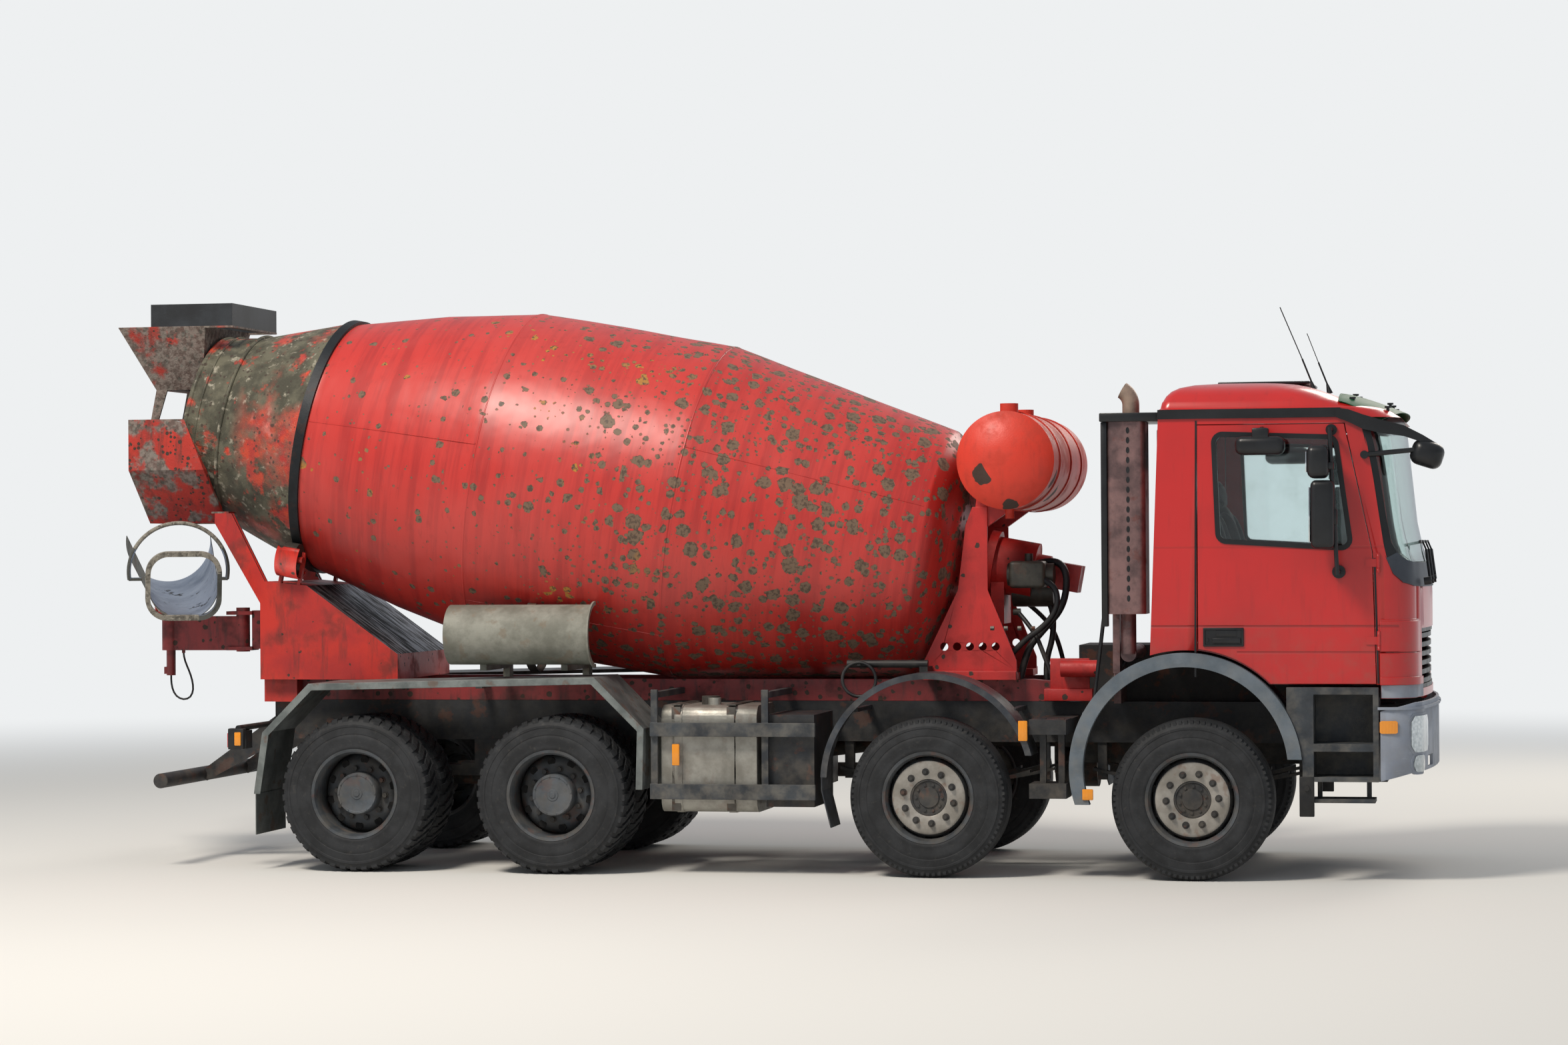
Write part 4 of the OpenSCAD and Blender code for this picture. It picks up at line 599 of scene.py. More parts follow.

# %% [markdown]
# Dried concrete builds up in grey lumps on hoops and rims. It is drawn as a rough, nearly matt
# stone colour with a strong bump. The trough's inside is bluish bright steel with dark, wet
# looking patches here and there, streaked the way the concrete slides.

# %% Concrete crust and scoured steel
def make_crust():
    material, shader, place = start_material("dried_concrete", Roughness=0.9, IOR=1.5)
    colour = stain("#8B867B", "#5A564E", cloud(place, 40, detail=8.0, low=0.4, high=0.62))
    colour = stain(colour, "#A9A498", cloud(place, 14, detail=5.0, low=0.56, high=0.7))
    feed(shader, "Base Color", colour)
    lumps = fractal(place, 46.0, 9.0, 0.7)
    bump(shader, lumps, 9)
    return material


def make_scoured(name, bright_hex, dark_hex, slide, dark_low, dark_high):
    material, shader, place = start_material(name, Roughness=0.35, Metallic=0.75)
    sliding = stretched(place, slide)
    lines = fractal(sliding, 7.0, 9.0, 0.66)
    colour = stain(bright_hex, dark_hex, ramp(lines, dark_low, dark_high))
    colour = stain(colour, "#1C1A1A", cloud(place, 90, detail=8.0, low=0.62, high=0.66))
    feed(shader, "Base Color", colour)
    feed(shader, "Roughness", ramp(lines, 0.35, 0.6, 0.3, 0.6))
    bump(shader, lines, 1.5)
    return material


crust = make_crust()
trough_steel = make_scoured("trough_inside_scoured", "#9BA6B8", "#5A6270", (1, 1, 0.4), 0.6, 0.7)
slide_steel = make_scoured("slide_plate_stained", "#8C8F96", "#1C1D20", (0.5, 4.0, 0.5), 0.44, 0.56)
trough_outside = dull_metal("trough_outside_caked", "#5B5C58", "#33342F", rust=0.25, dirt=0.5,
                            metallic=0.1, roughness=0.7, grain=2.2)
print("crust and scoured steel ready")

# %% [markdown]
# Glass is clear or green-tinted and very smooth. A thin window reads best as a shell that lets
# most light through, so it keeps a transmission shader. Mirror faces are polished metal, lamps
# have clear covers over bright reflectors, and amber lenses are dyed plastic with a fine grid.

# %% Glass, mirrors and lamps
def make_glass(name, tint_hex, roughness=0.03, weight=1.0, haze_hex="#B9C2BE"):
    material, shader, place = start_material(name, Roughness=roughness, IOR=1.45,
                                             Transmission_Weight=weight)
    haze = cloud(place, 260, detail=5.0, low=0.45, high=0.8)
    feed(shader, "Base Color", stain(tint_hex, haze_hex, haze, 0.3))
    return material


def make_lens(name, lens_hex, glow_hex):
    material, shader, place = start_material(name, Roughness=0.2, IOR=1.49, Coat_Weight=0.5)
    grid = add(place, "TexWave", {"Vector": place, "Scale": 60.0}, bands_direction="X")
    feed(shader, "Base Color", stain(lens_hex, glow_hex, grid.outputs["Fac"]))
    bump(shader, grid.outputs["Fac"], 1.0)
    return material


window_glass = make_glass("window_glass", "#E4EFEF")
screen_glass = make_glass("windscreen_glass", "#DCEAE8")
nose_plastic = moulded("nose_plastic_dark", "#31363F", "#3F454E", 0.4, dust=0.05)
visor_tint = make_glass("visor_green_smoke", "#1C5A3A", 0.5, 0.25, haze_hex="#2C6648")
visor_tint.node_tree.nodes["Principled BSDF"].inputs["Specular IOR Level"].default_value = 0.12
lamp_cover = make_glass("lamp_cover", "#F2F4F4", 0.02)
amber_lens = make_lens("amber_lens", "#E8850C", "#F5A324")
red_lens = make_lens("red_lens", "#9E0E10", "#C81A16")
mirror_face, shader, place = start_material("mirror_face", Metallic=1.0, Roughness=0.04)
dusty = cloud(place, 70, detail=6.0, low=0.4, high=0.8)
feed(shader, "Base Color", stain("#DDE2E4", "#B5B8B6", dusty))
reflector, shader, place = start_material("lamp_reflector", Metallic=1.0, Roughness=0.12)
facets = add(place, "TexVoronoi", {"Vector": place, "Scale": 45.0})
feed(shader, "Base Color", stain("#E8EAEC", "#AEB3B6", facets.outputs["Distance"]))
print("glass and lamps ready")

# %% [markdown]
# Tyres are carbon-black rubber that road dust has turned brown-grey in patches. A wide soft cloud
# varies the black, a fine one lays the dust on it, and a very fine bump keeps the rubber matt.

# %% Tyre rubber
def make_tyre_rubber():
    material, shader, place = start_material("tyre_rubber_dusty", Roughness=0.72, IOR=1.5)
    colour = stain("#15171A", "#25272A", cloud(place, 130, detail=7.0, low=0.38, high=0.66))
    colour = stain(colour, "#4E4A44", cloud(place, 28, detail=8.0, low=0.55, high=0.78), 0.35)
    feed(shader, "Base Color", colour)
    fine = fractal(place, 190.0, 4.0)
    bump(shader, fine, 0.7)
    return material


tyre_rubber = make_tyre_rubber()
print("materials:", len(bpy.data.materials))

# %% [markdown]
# Seats are padded cushions under woven cloth. The weave is far too fine to show at this distance,
# so the threads are drawn about 6 mm wide, with a soft sheen for the fuzz. The cab's mouldings
# are dark grained plastic.

# %% Cab interior finishes
def make_seat_cloth():
    material, shader, place = start_material("seat_cloth_woven", Roughness=0.95, Sheen_Weight=0.4)
    weave_x = add(place, "TexWave", {"Vector": place, "Scale": 52.0}, bands_direction="X")
    weave_z = add(place, "TexWave", {"Vector": place, "Scale": 52.0}, bands_direction="Z")
    threads = maths("MULTIPLY", weave_x.outputs["Fac"], weave_z.outputs["Fac"])
    colour = stain("#24262B", "#474B54", threads)
    colour = stain(colour, "#5A5348", cloud(place, 120, detail=5.0), 0.25)
    feed(shader, "Base Color", colour)
    bump(shader, threads, 1.2)
    return material


seat_cloth = make_seat_cloth()
trim_plastic = moulded("dashboard_plastic", "#26292D", "#3A3E43", 0.6, dust=0.2)
print("interior finishes ready")

# %% [markdown]
# The stage is a pale floor that fades into the same pale colour as the world, so no horizon line
# cuts through the picture. The floor keeps the truck's shadow near the wheels. The light is one
# broad soft lamp high on the camera's side, a weak one from the far side, and an even world.

# %% Floor, world and lamps
BACKDROP = "#EEF0F1"
FLOOR_RADIUS = 160
FADE_START, FADE_END = 9.0, 24.0
EVEN_LIGHT = 0.55
scene.view_settings.view_transform = "Standard"


def make_stage():
    material = bpy.data.materials.new("studio_floor")
    material.use_nodes = True
    tree = material.node_tree
    tree.nodes.clear()
    place = add(tree, "TexCoord").outputs["Object"]
    reach = add(tree, "VectorMath", {0: place}, operation="LENGTH").outputs["Value"]
    far = ramp(reach, FADE_START, FADE_END)
    matt = add(tree, "BsdfDiffuse", {"Color": tint("#D9D8D4")})
    glow = add(tree, "Emission", {"Color": tint(BACKDROP), "Strength": 1.0})
    mixed = add(tree, "MixShader", {0: far, 1: matt.outputs[0], 2: glow.outputs[0]})
    add(tree, "OutputMaterial", {"Surface": mixed.outputs[0]})
    bm = bmesh.new()
    bmesh.ops.create_circle(bm, cap_ends=True, segments=96, radius=FLOOR_RADIUS)
    floor = new_object("studio_floor", mesh_of(bm, "studio_floor", material))

    world = bpy.data.worlds.new("studio_world")
    scene.world = world
    world.use_nodes = True
    tree = world.node_tree
    tree.nodes.clear()
    rays = add(tree, "LightPath")
    seen = maths("MAXIMUM", rays.outputs["Is Camera Ray"], rays.outputs["Is Transmission Ray"])
    even = add(tree, "Background", {"Color": tint("#E2E8F0"), "Strength": EVEN_LIGHT})
    plain = add(tree, "Background", {"Color": tint(BACKDROP), "Strength": 1.0})
    mixed = add(tree, "MixShader", {0: seen, 1: even.outputs[0], 2: plain.outputs[0]})
    add(tree, "OutputWorld", {"Surface": mixed.outputs[0]})


def add_lamp(name, place, target, power, size):
    lamp = bpy.data.lights.new(name, "AREA")
    lamp.shape = "DISK"
    lamp.size = size
    lamp.energy = power
    lamp.color = tint("#FFF6EA")[:3]
    holder = new_object(name, lamp)
    holder.location = place
    ahead = Vector(target) - Vector(place)
    holder.rotation_euler = ahead.to_track_quat("-Z", "Y").to_euler()


make_stage()
add_lamp("key_softbox", (-4.5, -10.0, 14.5), (0, 0, 1.6), 2500, 4.5)
add_lamp("far_softbox", (7.0, 11.0, 9.0), (0, 0, 2.0), 700, 7.0)
print("stage ready")

# %% [markdown]
# A short loop of hose hangs from the foot of the chute's lifting jack and runs back up to the
# arm. It repeats the route of its CAD solid, point by point, and rides on the chassis.

# %% Jack hose
HOSE_FOOT = at(-7.32, 0, 0)
HOSE_ROUTE_MM = [
    (0, 0, 1262), (0, 0, 1235), (2, 0, 1205), (8, 0, 1172), (20, 2, 1140), (38, 4, 1115),
    (62, 6, 1099), (90, 6, 1092), (118, 4, 1096), (141, 2, 1110), (156, 0, 1133), (163, 0, 1162),
    (162, 0, 1194), (156, 0, 1228), (146, 0, 1262), (133, 0, 1296), (118, 0, 1330), (105, 0, 1364),
    (97, 0, 1394), (94, 0, 1420),
]
HOSE_RADIUS = 0.007


def length_of(points):
    return sum((b - a).length for a, b in zip(points, points[1:]))


hose_points = [HOSE_FOOT + Vector(p) / 1000 for p in HOSE_ROUTE_MM]
jack_hose, route = draw_curve("chute_jack_hose", hose_points, HOSE_RADIUS, "POLY", 4)
jack_hose.data.materials.append(hose_rubber)
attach(jack_hose, "chassis")
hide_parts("jack_hose")
print("jack hose", round(length_of(hose_points), 3), "m")

# %% [markdown]
# First every CAD node gets the finish of its real piece. Shapes that are right stay as they are.
# Nodes that need finer shapes, such as wheels and the drum, are replaced further down.

# %% Finishes for the CAD nodes
paint(chassis_paint, "frame_rails", "underrun_bar", "battery_box", "leaf_springs",
      "knuckle_1_left", "knuckle_1_right", "knuckle_2_left", "knuckle_2_right")
paint(axle_iron, "front_axles", "rear_axles", "engine")
paint(frame_enamel, "subframe", "chute_arm")
paint(support_enamel, "rear_support", "chute_swivel")
paint(pedestal_enamel, "pedestal", "drum_drive")
paint(hopper_enamel, "charge_hopper")
paint(funnel_enamel, "discharge_funnel")
paint(tank_enamel, "water_tank")
paint(collar_rubber, "hopper_flap")
paint(bumper_plastic, "bumper")
paint(arch_plastic, "front_arches")
paint(step_plastic, "step_wells", "side_guards")
paint(fender_plastic, "mid_fenders")
paint(fender_sheet, "rear_fenders")
paint(fuel_alloy, "fuel_tank")
paint(shield_steel, "muffler")
paint(hose_rubber, "lance")
paint(chute_zinc, "spare_chute")
paint(trough_outside, "main_chute")
paint(cab_paint, "cab_shell", "cab_roof", "door_left", "door_right")
paint(screen_glass, "windscreen")
paint(window_glass, "door_glass_left", "door_glass_right")
paint(visor_tint, "sun_visor")
paint(black_plastic, "front_grille", "front_mirror", "mirrors_left", "mirrors_right")
paint(trim_plastic, "cab_interior")
paint(blade_steel, "drum_blades")
paint(lamp_cover, "headlamps")
paint(roller_steel, "roller_left", "roller_right")
paint(ring_iron, "drum_ring")
paint(drum_enamel, "drum_shell")
paint(tyre_rubber, *[n for n in nodes if n.startswith("wheel_")])
print("finishes on", sum(1 for n in nodes.values() if n.data.materials), "nodes")

# %% [markdown]
# The drum is rolled steel plate welded into cones. One profile of its wall, outside and inside,
# is spun about the tilted axis, which gives true circles at every station. Rings of points are
# then pushed a few millimetres in or out by a smooth noise, for the shallow dents that years of
# hammering leave. Rolled edges and weld beads are spun bands that lie on the shell.

# %% Drum shell
DRUM_ROWS = [
    (-1.430, 0.0), (-1.422, 0.320), (-1.385, 0.540), (-1.366, 0.566), (-1.290, 0.757),
    (-1.215, 0.830), (-1.196, 0.842), (0.409, 1.154), (1.200, 1.162), (1.790, 1.156),
    (2.450, 1.030), (3.070, 0.876), (3.136, 0.876), (3.757, 0.668), (4.030, 0.620),
]
DRUM_WALL = 0.008
STEP_S = 0.055
DRUM_MATRIX = Matrix.Translation(DRUM_CENTRE) @ DRUM_TURN.to_matrix().to_4x4()


def read_off(rows, x):
    """The value at x on a line through rows of (x, value); beyond the ends it stays level."""
    for (x0, y0), (x1, y1) in zip(rows, rows[1:]):
        if x0 <= x <= x1 and x1 > x0:
            return y0 + (y1 - y0) * (x - x0) / (x1 - x0)
    return rows[0][1] if x < rows[0][0] else rows[-1][1]


def refine(rows, step):
    fine = [rows[0]]
    for (s0, r0), (s1, r1) in zip(rows, rows[1:]):
        count = max(1, round(math.hypot(s1 - s0, r1 - r0) / step))
        fine += [(s0 + (s1 - s0) * k / count, r0 + (r1 - r0) * k / count)
                 for k in range(1, count + 1)]
    return fine


def make_drum():
    outside = refine(DRUM_ROWS, STEP_S)
    inside = [(max(s, -1.36), r - DRUM_WALL) for s, r in reversed(outside)
              if r > 0.56 and s > -1.37]
    inside += [(-1.37, 0.55), (-1.41, 0.32), (-1.42, 0.0)]
    bm = bmesh.new()
    add_spin(bm, outside + inside, (0, 0, 0), (0, 0, 1), 160)
    for v in bm.verts:
        r = math.hypot(v.co.x, v.co.y)
        if r < 0.5 or abs(v.co.z - RING_S) < 0.12:
            continue
        wave = noise.noise(v.co * 1.7) * 0.0035 + noise.noise(v.co * 4.2) * 0.0018
        hit = max(0.0, noise.noise(v.co * 2.6 + Vector((9, 4, 2))) - 0.42) * 0.012
        scale = 1 + (wave - hit) / r
        v.co.x *= scale
        v.co.y *= scale
    bmesh.ops.transform(bm, matrix=DRUM_MATRIX, verts=bm.verts)
    return finish_piece(bm, "drum_plate", "drum", drum_enamel, smooth=28)


drum_plate = make_drum()
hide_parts("drum_shell")
print("drum faces", len(drum_plate.data.polygons))

# %% [markdown]
# Beads: a rolled lip behind the ring, one at the mouth, and the weld seams. A seam round the drum
# is a flat band spun at its station. A lengthwise seam is a narrow strip that follows the cone
# from station to station, and each cone's seam is set at its own angle, as welders offset them.

# %% Beads and weld seams
SEAM_ROUND = [0.409, 1.790]
SEAMS_ALONG = [(-1.18, 0.40, 2.22), (-1.18, 0.40, 5.1), (0.42, 1.78, 0.98), (0.42, 1.78, 3.9),
               (1.80, 3.06, 2.05), (1.80, 3.06, 4.9), (3.15, 3.74, 2.0), (3.78, 4.0, 2.06)]


def make_seams():
    bm = bmesh.new()
    for s in SEAM_ROUND:
        r = read_off(DRUM_ROWS, s)
        band = [(s - 0.009, r - 0.002), (s - 0.004, r + 0.003), (s + 0.004, r + 0.003),
                (s + 0.009, r - 0.002)]
        add_spin(bm, band,
                 (0, 0, 0), (0, 0, 1), 160)
    for s0, s1, angle in SEAMS_ALONG:
        half = 0.006
        count = 24
        rows = []
        for k in range(count + 1):
            s = s0 + (s1 - s0) * k / count
            r = read_off(DRUM_ROWS, s)
            rows.append([bm.verts.new(Vector((lift * math.cos(angle + off / r),
                                              lift * math.sin(angle + off / r), s)))
                         for off, lift in ((-half, r - 0.004), (-half * 0.5, r + 0.003),
                                           (half * 0.5, r + 0.003), (half, r - 0.004))])
        skin_rows(bm, rows)
    for s, r, fat in ((3.757, 0.674, 0.014), (4.030, 0.610, 0.020), (3.945, 0.636, 0.009)):
        ring = [(s + fat * math.sin(a), r + fat * math.cos(a))
                for a in [math.pi * (k / 8 - 0.5) * 1.2 for k in range(9)]]
        add_spin(bm, ring, (0, 0, 0), (0, 0, 1), 144)
    bmesh.ops.transform(bm, matrix=DRUM_MATRIX, verts=bm.verts)
    return finish_piece(bm, "drum_seams_and_beads", "drum", drum_enamel, smooth=60)


drum_seams = make_seams()
print("seam faces", len(drum_seams.data.polygons))

# %% [markdown]
# Tyres come in two kinds. The steered ones have plain ribs with small shoulder notches, and the
# driven twins have open block tread. The carcass is one profile spun about the axle. Tread blocks
# start as a cut cube that is bent over the shoulder, and one ring of copies is spun round the tyre.

# %% Tyre carcass and tread
TYRE_RADIUS = AXLE_HEIGHT
TYRE_WIDTH = 0.300
TREAD_DEPTH = 0.013
BASE_RADIUS = TYRE_RADIUS - TREAD_DEPTH
SHOULDER = 0.062
CARCASS_SIDES = 96
RIM_SIDES = 72

# depth behind the outer wall and radius, over the outer half of the tyre
WALL_ROWS = [(0.030, 0.284), (0.020, 0.290), (0.010, 0.304), (0.005, 0.318), (0.0062, 0.322),
             (0.002, 0.345), (0.0, 0.372), (0.0, 0.392), (0.0022, 0.395), (0.0022, 0.399),
             (0.0, 0.402), (0.001, 0.425), (0.0035, 0.446), (0.0005, 0.449), (0.0008, 0.462),
             (0.006, 0.466), (0.010, 0.480), (0.017, 0.492)]
CROWN_ROWS = [(0.030, 0.5005), (0.052, 0.5045), (0.09, 0.505), (0.15, 0.505)]
RIB_ROWS = [(0.020, 0.494), (0.034, 0.509), (0.056, 0.5165), (0.060, 0.5170), (0.061, 0.507),
            (0.069, 0.507), (0.070, 0.5176), (0.103, 0.518), (0.104, 0.506), (0.113, 0.506),
            (0.114, 0.518), (0.146, 0.518), (0.147, 0.506), (0.15, 0.506)]


def tyre_section(block_tread):
    half = WALL_ROWS + (CROWN_ROWS if block_tread else RIB_ROWS)
    return half + [(TYRE_WIDTH - d, r) for d, r in reversed(half[:-1])]


def over_shoulder(depth):
    """Radius of the crown at a depth behind the outer wall, falling off at both shoulders."""
    beyond = max(0.0, SHOULDER - min(depth, TYRE_WIDTH - depth))
    return BASE_RADIUS - 0.42 * beyond ** 1.55 * 4.0


def spin_copies(bm, verts, count):
    """Fills the round about the y axis with count - 1 more copies of some points."""
    geom = verts + [part for name in ("link_edges", "link_faces")
                    for part in {p for v in verts for p in getattr(v, name)}]
    bmesh.ops.spin(bm, geom=geom, cent=(0, 0, 0), axis=(0, 1, 0),
                   angle=math.tau * (count - 1) / count, steps=count - 1, use_duplicate=True)


def add_blocks(bm, depth0, depth1, count, share, skew, start, lift):
    """A ring of tread blocks about the y axis, between two depths behind the outer wall."""
    verts = bmesh.ops.create_cube(bm, size=1.0)["verts"]
    long_edges = [e for e in bm.edges if all(v in verts for v in e.verts)
                  and abs(e.verts[0].co.y - e.verts[1].co.y) > 0.9]
    cuts = 2 if depth1 - depth0 > 0.045 else 1
    cut = bmesh.ops.subdivide_edges(bm, edges=long_edges, cuts=cuts, use_grid_fill=True)
    faces = {f for e in cut["geom_inner"] if isinstance(e, bmesh.types.BMEdge)
             for f in e.link_faces}
    verts = list({v for f in faces for v in f.verts} | set(v for v in verts if v.is_valid))
    pitch = math.tau / count
    for v in verts:
        across, up = v.co.y + 0.5, v.co.z + 0.5
        depth = depth0 + (depth1 - depth0) * across
        inset = 1.0 if up < 0.5 else 0.86
        angle = start + pitch * (v.co.x * share * inset + skew * (across - 0.5))
        radius = over_shoulder(depth) + (lift if up > 0.5 else -0.006)
        v.co = Vector((radius * math.sin(angle), -depth, radius * math.cos(angle)))
    spin_copies(bm, verts, count)


# two depths, count, share of the pitch, skew, start angle and height of each ring of blocks
OPEN_TREAD = [(0.012, 0.072, 42, 0.60, 0.10, 0.0, TREAD_DEPTH),
              (0.080, 0.146, 42, 0.66, 0.35, 0.05, TREAD_DEPTH),
              (0.154, 0.220, 42, 0.66, 0.35, 0.11, TREAD_DEPTH),
              (0.228, 0.288, 42, 0.60, 0.10, 0.07, TREAD_DEPTH)]
NOTCHES = [(0.011, 0.030, 84, 0.62, 0.0, 0.0, 0.012), (0.270, 0.289, 84, 0.62, 0.0, 0.0, 0.012)]


def make_tyre_mesh(block_tread):
    bm = bmesh.new()
    rows = [(-d, r) for d, r in tyre_section(block_tread)]
    add_spin(bm, rows, (0, 0, 0), (0, 1, 0), CARCASS_SIDES)
    turn_outwards(bm)
    for ring in OPEN_TREAD if block_tread else NOTCHES:
        add_blocks(bm, *ring)
    bmesh.ops.recalc_face_normals(bm, faces=bm.faces)
    return mesh_of(bm, "tyre_blocks" if block_tread else "tyre_ribs")


ribbed_tyre = make_tyre_mesh(False)
block_tyre = make_tyre_mesh(True)
print("tyre faces", len(ribbed_tyre.polygons), len(block_tyre.polygons))

# %% [markdown]
# Each rim is a rolled steel profile with a pressed disc. The steered wheels have a disc that
# stands nearly flush, with ten nuts on a silvered ring and a dark hub in the middle. The twins
# have a deep dish whose hub cap comes forward out of it. Hand holes between disc and rim are oval
# cups in a painted shadow colour, which look like cut-outs and keep the spun disc whole.

# %% Rims, discs and hubs
FRONT_RIM = [(-0.270, 0.299), (-0.284, 0.299), (-0.286, 0.285), (-0.255, 0.268), (-0.040, 0.268),
             (-0.014, 0.281), (-0.009, 0.299), (-0.014, 0.3015), (-0.021, 0.299), (-0.022, 0.286)]
FRONT_DISC = [(-0.175, 0.272), (-0.120, 0.262), (-0.085, 0.252), (-0.062, 0.243), (-0.050, 0.238)]
NUT_RING = [(-0.050, 0.2385), (-0.046, 0.232), (-0.045, 0.222), (-0.045, 0.124), (-0.048, 0.120),
            (-0.056, 0.119)]
FRONT_HUB = [(-0.056, 0.120), (-0.050, 0.117), (-0.049, 0.108), (-0.056, 0.103), (-0.057, 0.070),
             (-0.049, 0.064), (-0.048, 0.0)]
REAR_DISH = [(-0.246, 0.268), (-0.205, 0.250), (-0.180, 0.226), (-0.170, 0.200), (-0.164, 0.150),
             (-0.164, 0.138)]
REAR_HUB = [(-0.164, 0.142), (-0.110, 0.139), (-0.066, 0.1375), (-0.058, 0.132), (-0.058, 0.120),
            (-0.061, 0.117), (-0.061, 0.040), (-0.057, 0.037), (-0.057, 0.022), (-0.052, 0.018),
            (-0.052, 0.0)]


# each bar of a fitting: distance out from the axle, its two ends along y, radius, sides, end radius
NUT_CIRCLE = 0.1675
FRONT_NUT = [(NUT_CIRCLE, -0.045, -0.040, 0.0235, 20),
             (NUT_CIRCLE, -0.041, -0.019, 0.0165, 6, 0.0155),
             (NUT_CIRCLE, -0.020, -0.012, 0.010, 12)]
REAR_NUT = [(NUT_CIRCLE, -0.165, -0.160, 0.022, 16), (NUT_CIRCLE, -0.161, -0.138, 0.0165, 6)]
HAND_HOLE = [(0.2545, -0.0875, -0.0865, 0.0165, 16)]
HAND_HOLE_STRETCH = 1.55
HUB_BOLT = [(0.086, -0.057, -0.047, 0.0105, 6)]
DISH_HOLE = [(0.219, -0.190, -0.171, 0.026, 20)]
CAP_BOLT = [(0.1265, -0.0585, -0.053, 0.0065, 6)]


def add_bar(bm, radius_out, y0, y1, radius, sides, radius_end=None):
    """A short bar along y at radius_out above the wheel's axis."""
    made = bmesh.ops.create_cone(bm, cap_ends=True, segments=sides, radius1=radius,
                                 radius2=radius_end or radius, depth=y1 - y0)["verts"]
    turn = Matrix.Rotation(-math.pi / 2, 3, "X")
    bmesh.ops.rotate(bm, cent=(0, 0, 0), matrix=turn, verts=made)
    bmesh.ops.translate(bm, vec=(0, (y0 + y1) / 2, radius_out), verts=made)
    return made


def add_ring_of(bm, bars, count, start):
    """Bars drawn at the top of the wheel, turned by start and repeated round the y axis."""
    verts = [v for bar in bars for v in add_bar(bm, *bar)]
    if bars is HAND_HOLE:
        for v in verts:
            v.co.x *= HAND_HOLE_STRETCH
    bmesh.ops.rotate(bm, cent=(0, 0, 0), matrix=Matrix.Rotation(start, 3, "Y"), verts=verts)
    spin_copies(bm, verts, count)


def make_rim_mesh(name, spun, rings):
    """spun lists profiles with their material slots, rings the bars that repeat round them."""
    bm = bmesh.new()
    for rows, slot_index in spun:
        before = set(bm.faces)
        add_spin(bm, rows, (0, 0, 0), (0, 1, 0), RIM_SIDES)
        for f in set(bm.faces) - before:
            f.material_index = slot_index
    turn_outwards(bm)
    for bars, count, start, slot_index in rings:
        before = set(bm.faces)
        add_ring_of(bm, bars, count, start)
        new = list(set(bm.faces) - before)
        bmesh.ops.recalc_face_normals(bm, faces=new)
        for f in new:
            f.material_index = slot_index
    return mesh_of(bm, name)


front_wheel = make_rim_mesh(
    "front_wheel", [(FRONT_RIM, 0), (FRONT_DISC, 0), (NUT_RING, 1), (FRONT_HUB, 2)],
    [(FRONT_NUT, 10, 0.0, 2), (HAND_HOLE, 10, math.pi / 10, 3), (HUB_BOLT, 10, 0.2, 2)])
rear_wheel = make_rim_mesh(
    "rear_wheel", [(FRONT_RIM, 0), (REAR_DISH, 4), (REAR_HUB, 5)],
    [(REAR_NUT, 10, 0.0, 2), (DISH_HOLE, 10, math.pi / 10, 3), (CAP_BOLT, 12, 0.1, 5)])
inner_rim = make_rim_mesh("inner_rim", [(FRONT_RIM, 0)], [])
print("rim faces", len(front_wheel.polygons), len(rear_wheel.polygons))

# %% [markdown]
# Every wheel is put together from these meshes at its own hub. Wheels of the right side are the
# left side's turned half round the vertical, so nothing has to be mirrored.

# %% Place the eight wheels
# painted shadow: the hand holes' cups take this near-black in place of the view through the holes
dark_hole, shader, place = start_material("hole_shadow", Roughness=0.95)
feed(shader, "Base Color", stain("#0C0C0D", "#1A1918", cloud(place, 30)))
rear_cap = dull_metal("rear_hub_cap", "#565D64", "#3E444A", rust=0.2, dirt=0.5, metallic=0.1,
                      roughness=0.6)
RIM_FINISHES = [rear_rim, nut_disc, hub_iron, dark_hole, rear_rim, rear_cap]
TWIN_STEP = 0.344
STEERED_OUT, TWIN_OUT = 1.180, 1.250
WHEEL_TURN, LEFT_TURN = 0.37, 0.2


def place_wheel(axle, side):
    node = f"wheel_{axle}_{side}"
    twin = axle > 2
    out = TWIN_OUT if twin else STEERED_OUT
    turn = Matrix.Rotation(math.pi if side == "right" else 0.0, 4, "Z")
    phase = Matrix.Rotation(WHEEL_TURN * axle + (LEFT_TURN if side == "left" else 0.0), 4, "Y")
    parts = [(block_tyre if twin else ribbed_tyre, 0.0, "tyre"),
             (rear_wheel if twin else front_wheel, 0.0, "rim")]
    if twin:
        parts += [(block_tyre, TWIN_STEP, "inner_tyre"), (inner_rim, TWIN_STEP, "inner_rim")]
    sign = -1 if side == "right" else 1
    for source, step, part in parts:
        mesh = source.copy()
        hub = at(AXLES[axle - 1], sign * (out - step), AXLE_HEIGHT)
        mesh.transform(Matrix.Translation(hub) @ turn @ phase)
        for finish in [tyre_rubber] if "tyre" in part else RIM_FINISHES:
            mesh.materials.append(finish)
        soften(mesh, 38)
        piece = new_object(f"{part}_{axle}_{side}", mesh)
        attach(piece, node)
        if part == "tyre":
            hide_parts(node)


for axle in (1, 2, 3, 4):
    for side in ("left", "right"):
        place_wheel(axle, side)
print("wheels placed")

# %% [markdown]
# The cab's trims lie on its skin: flat side walls that turn into a round nose corner. One function
# gives the point of that skin for a place along the cab and a height, so that black strips, grey
# lower panels and gaps all follow the same wall. A trim is then a thin band between two edges.

# %% Bands that follow the cab's skin
SIDES = ((-1, "right"), (1, "left"))
CAB_Y, CORNER_X, CORNER_R, NOSE_BOW = 1.150, 1.178, 0.230, 6.0
NOSE_LEAN = [(1.78, 0.0), (1.95, 0.013), (2.253, 0.089), (2.93, 0.160), (3.00, 0.233)]


def lean(z):
    """How far the leaning nose lies behind its foot at height z."""
    return read_off(NOSE_LEAN, z)


def nose_middle(z):
    """The s of the nose's middle line at height z."""
    return CORNER_X - lean(z) + CORNER_R * math.pi / 2 + CAB_Y - CORNER_R


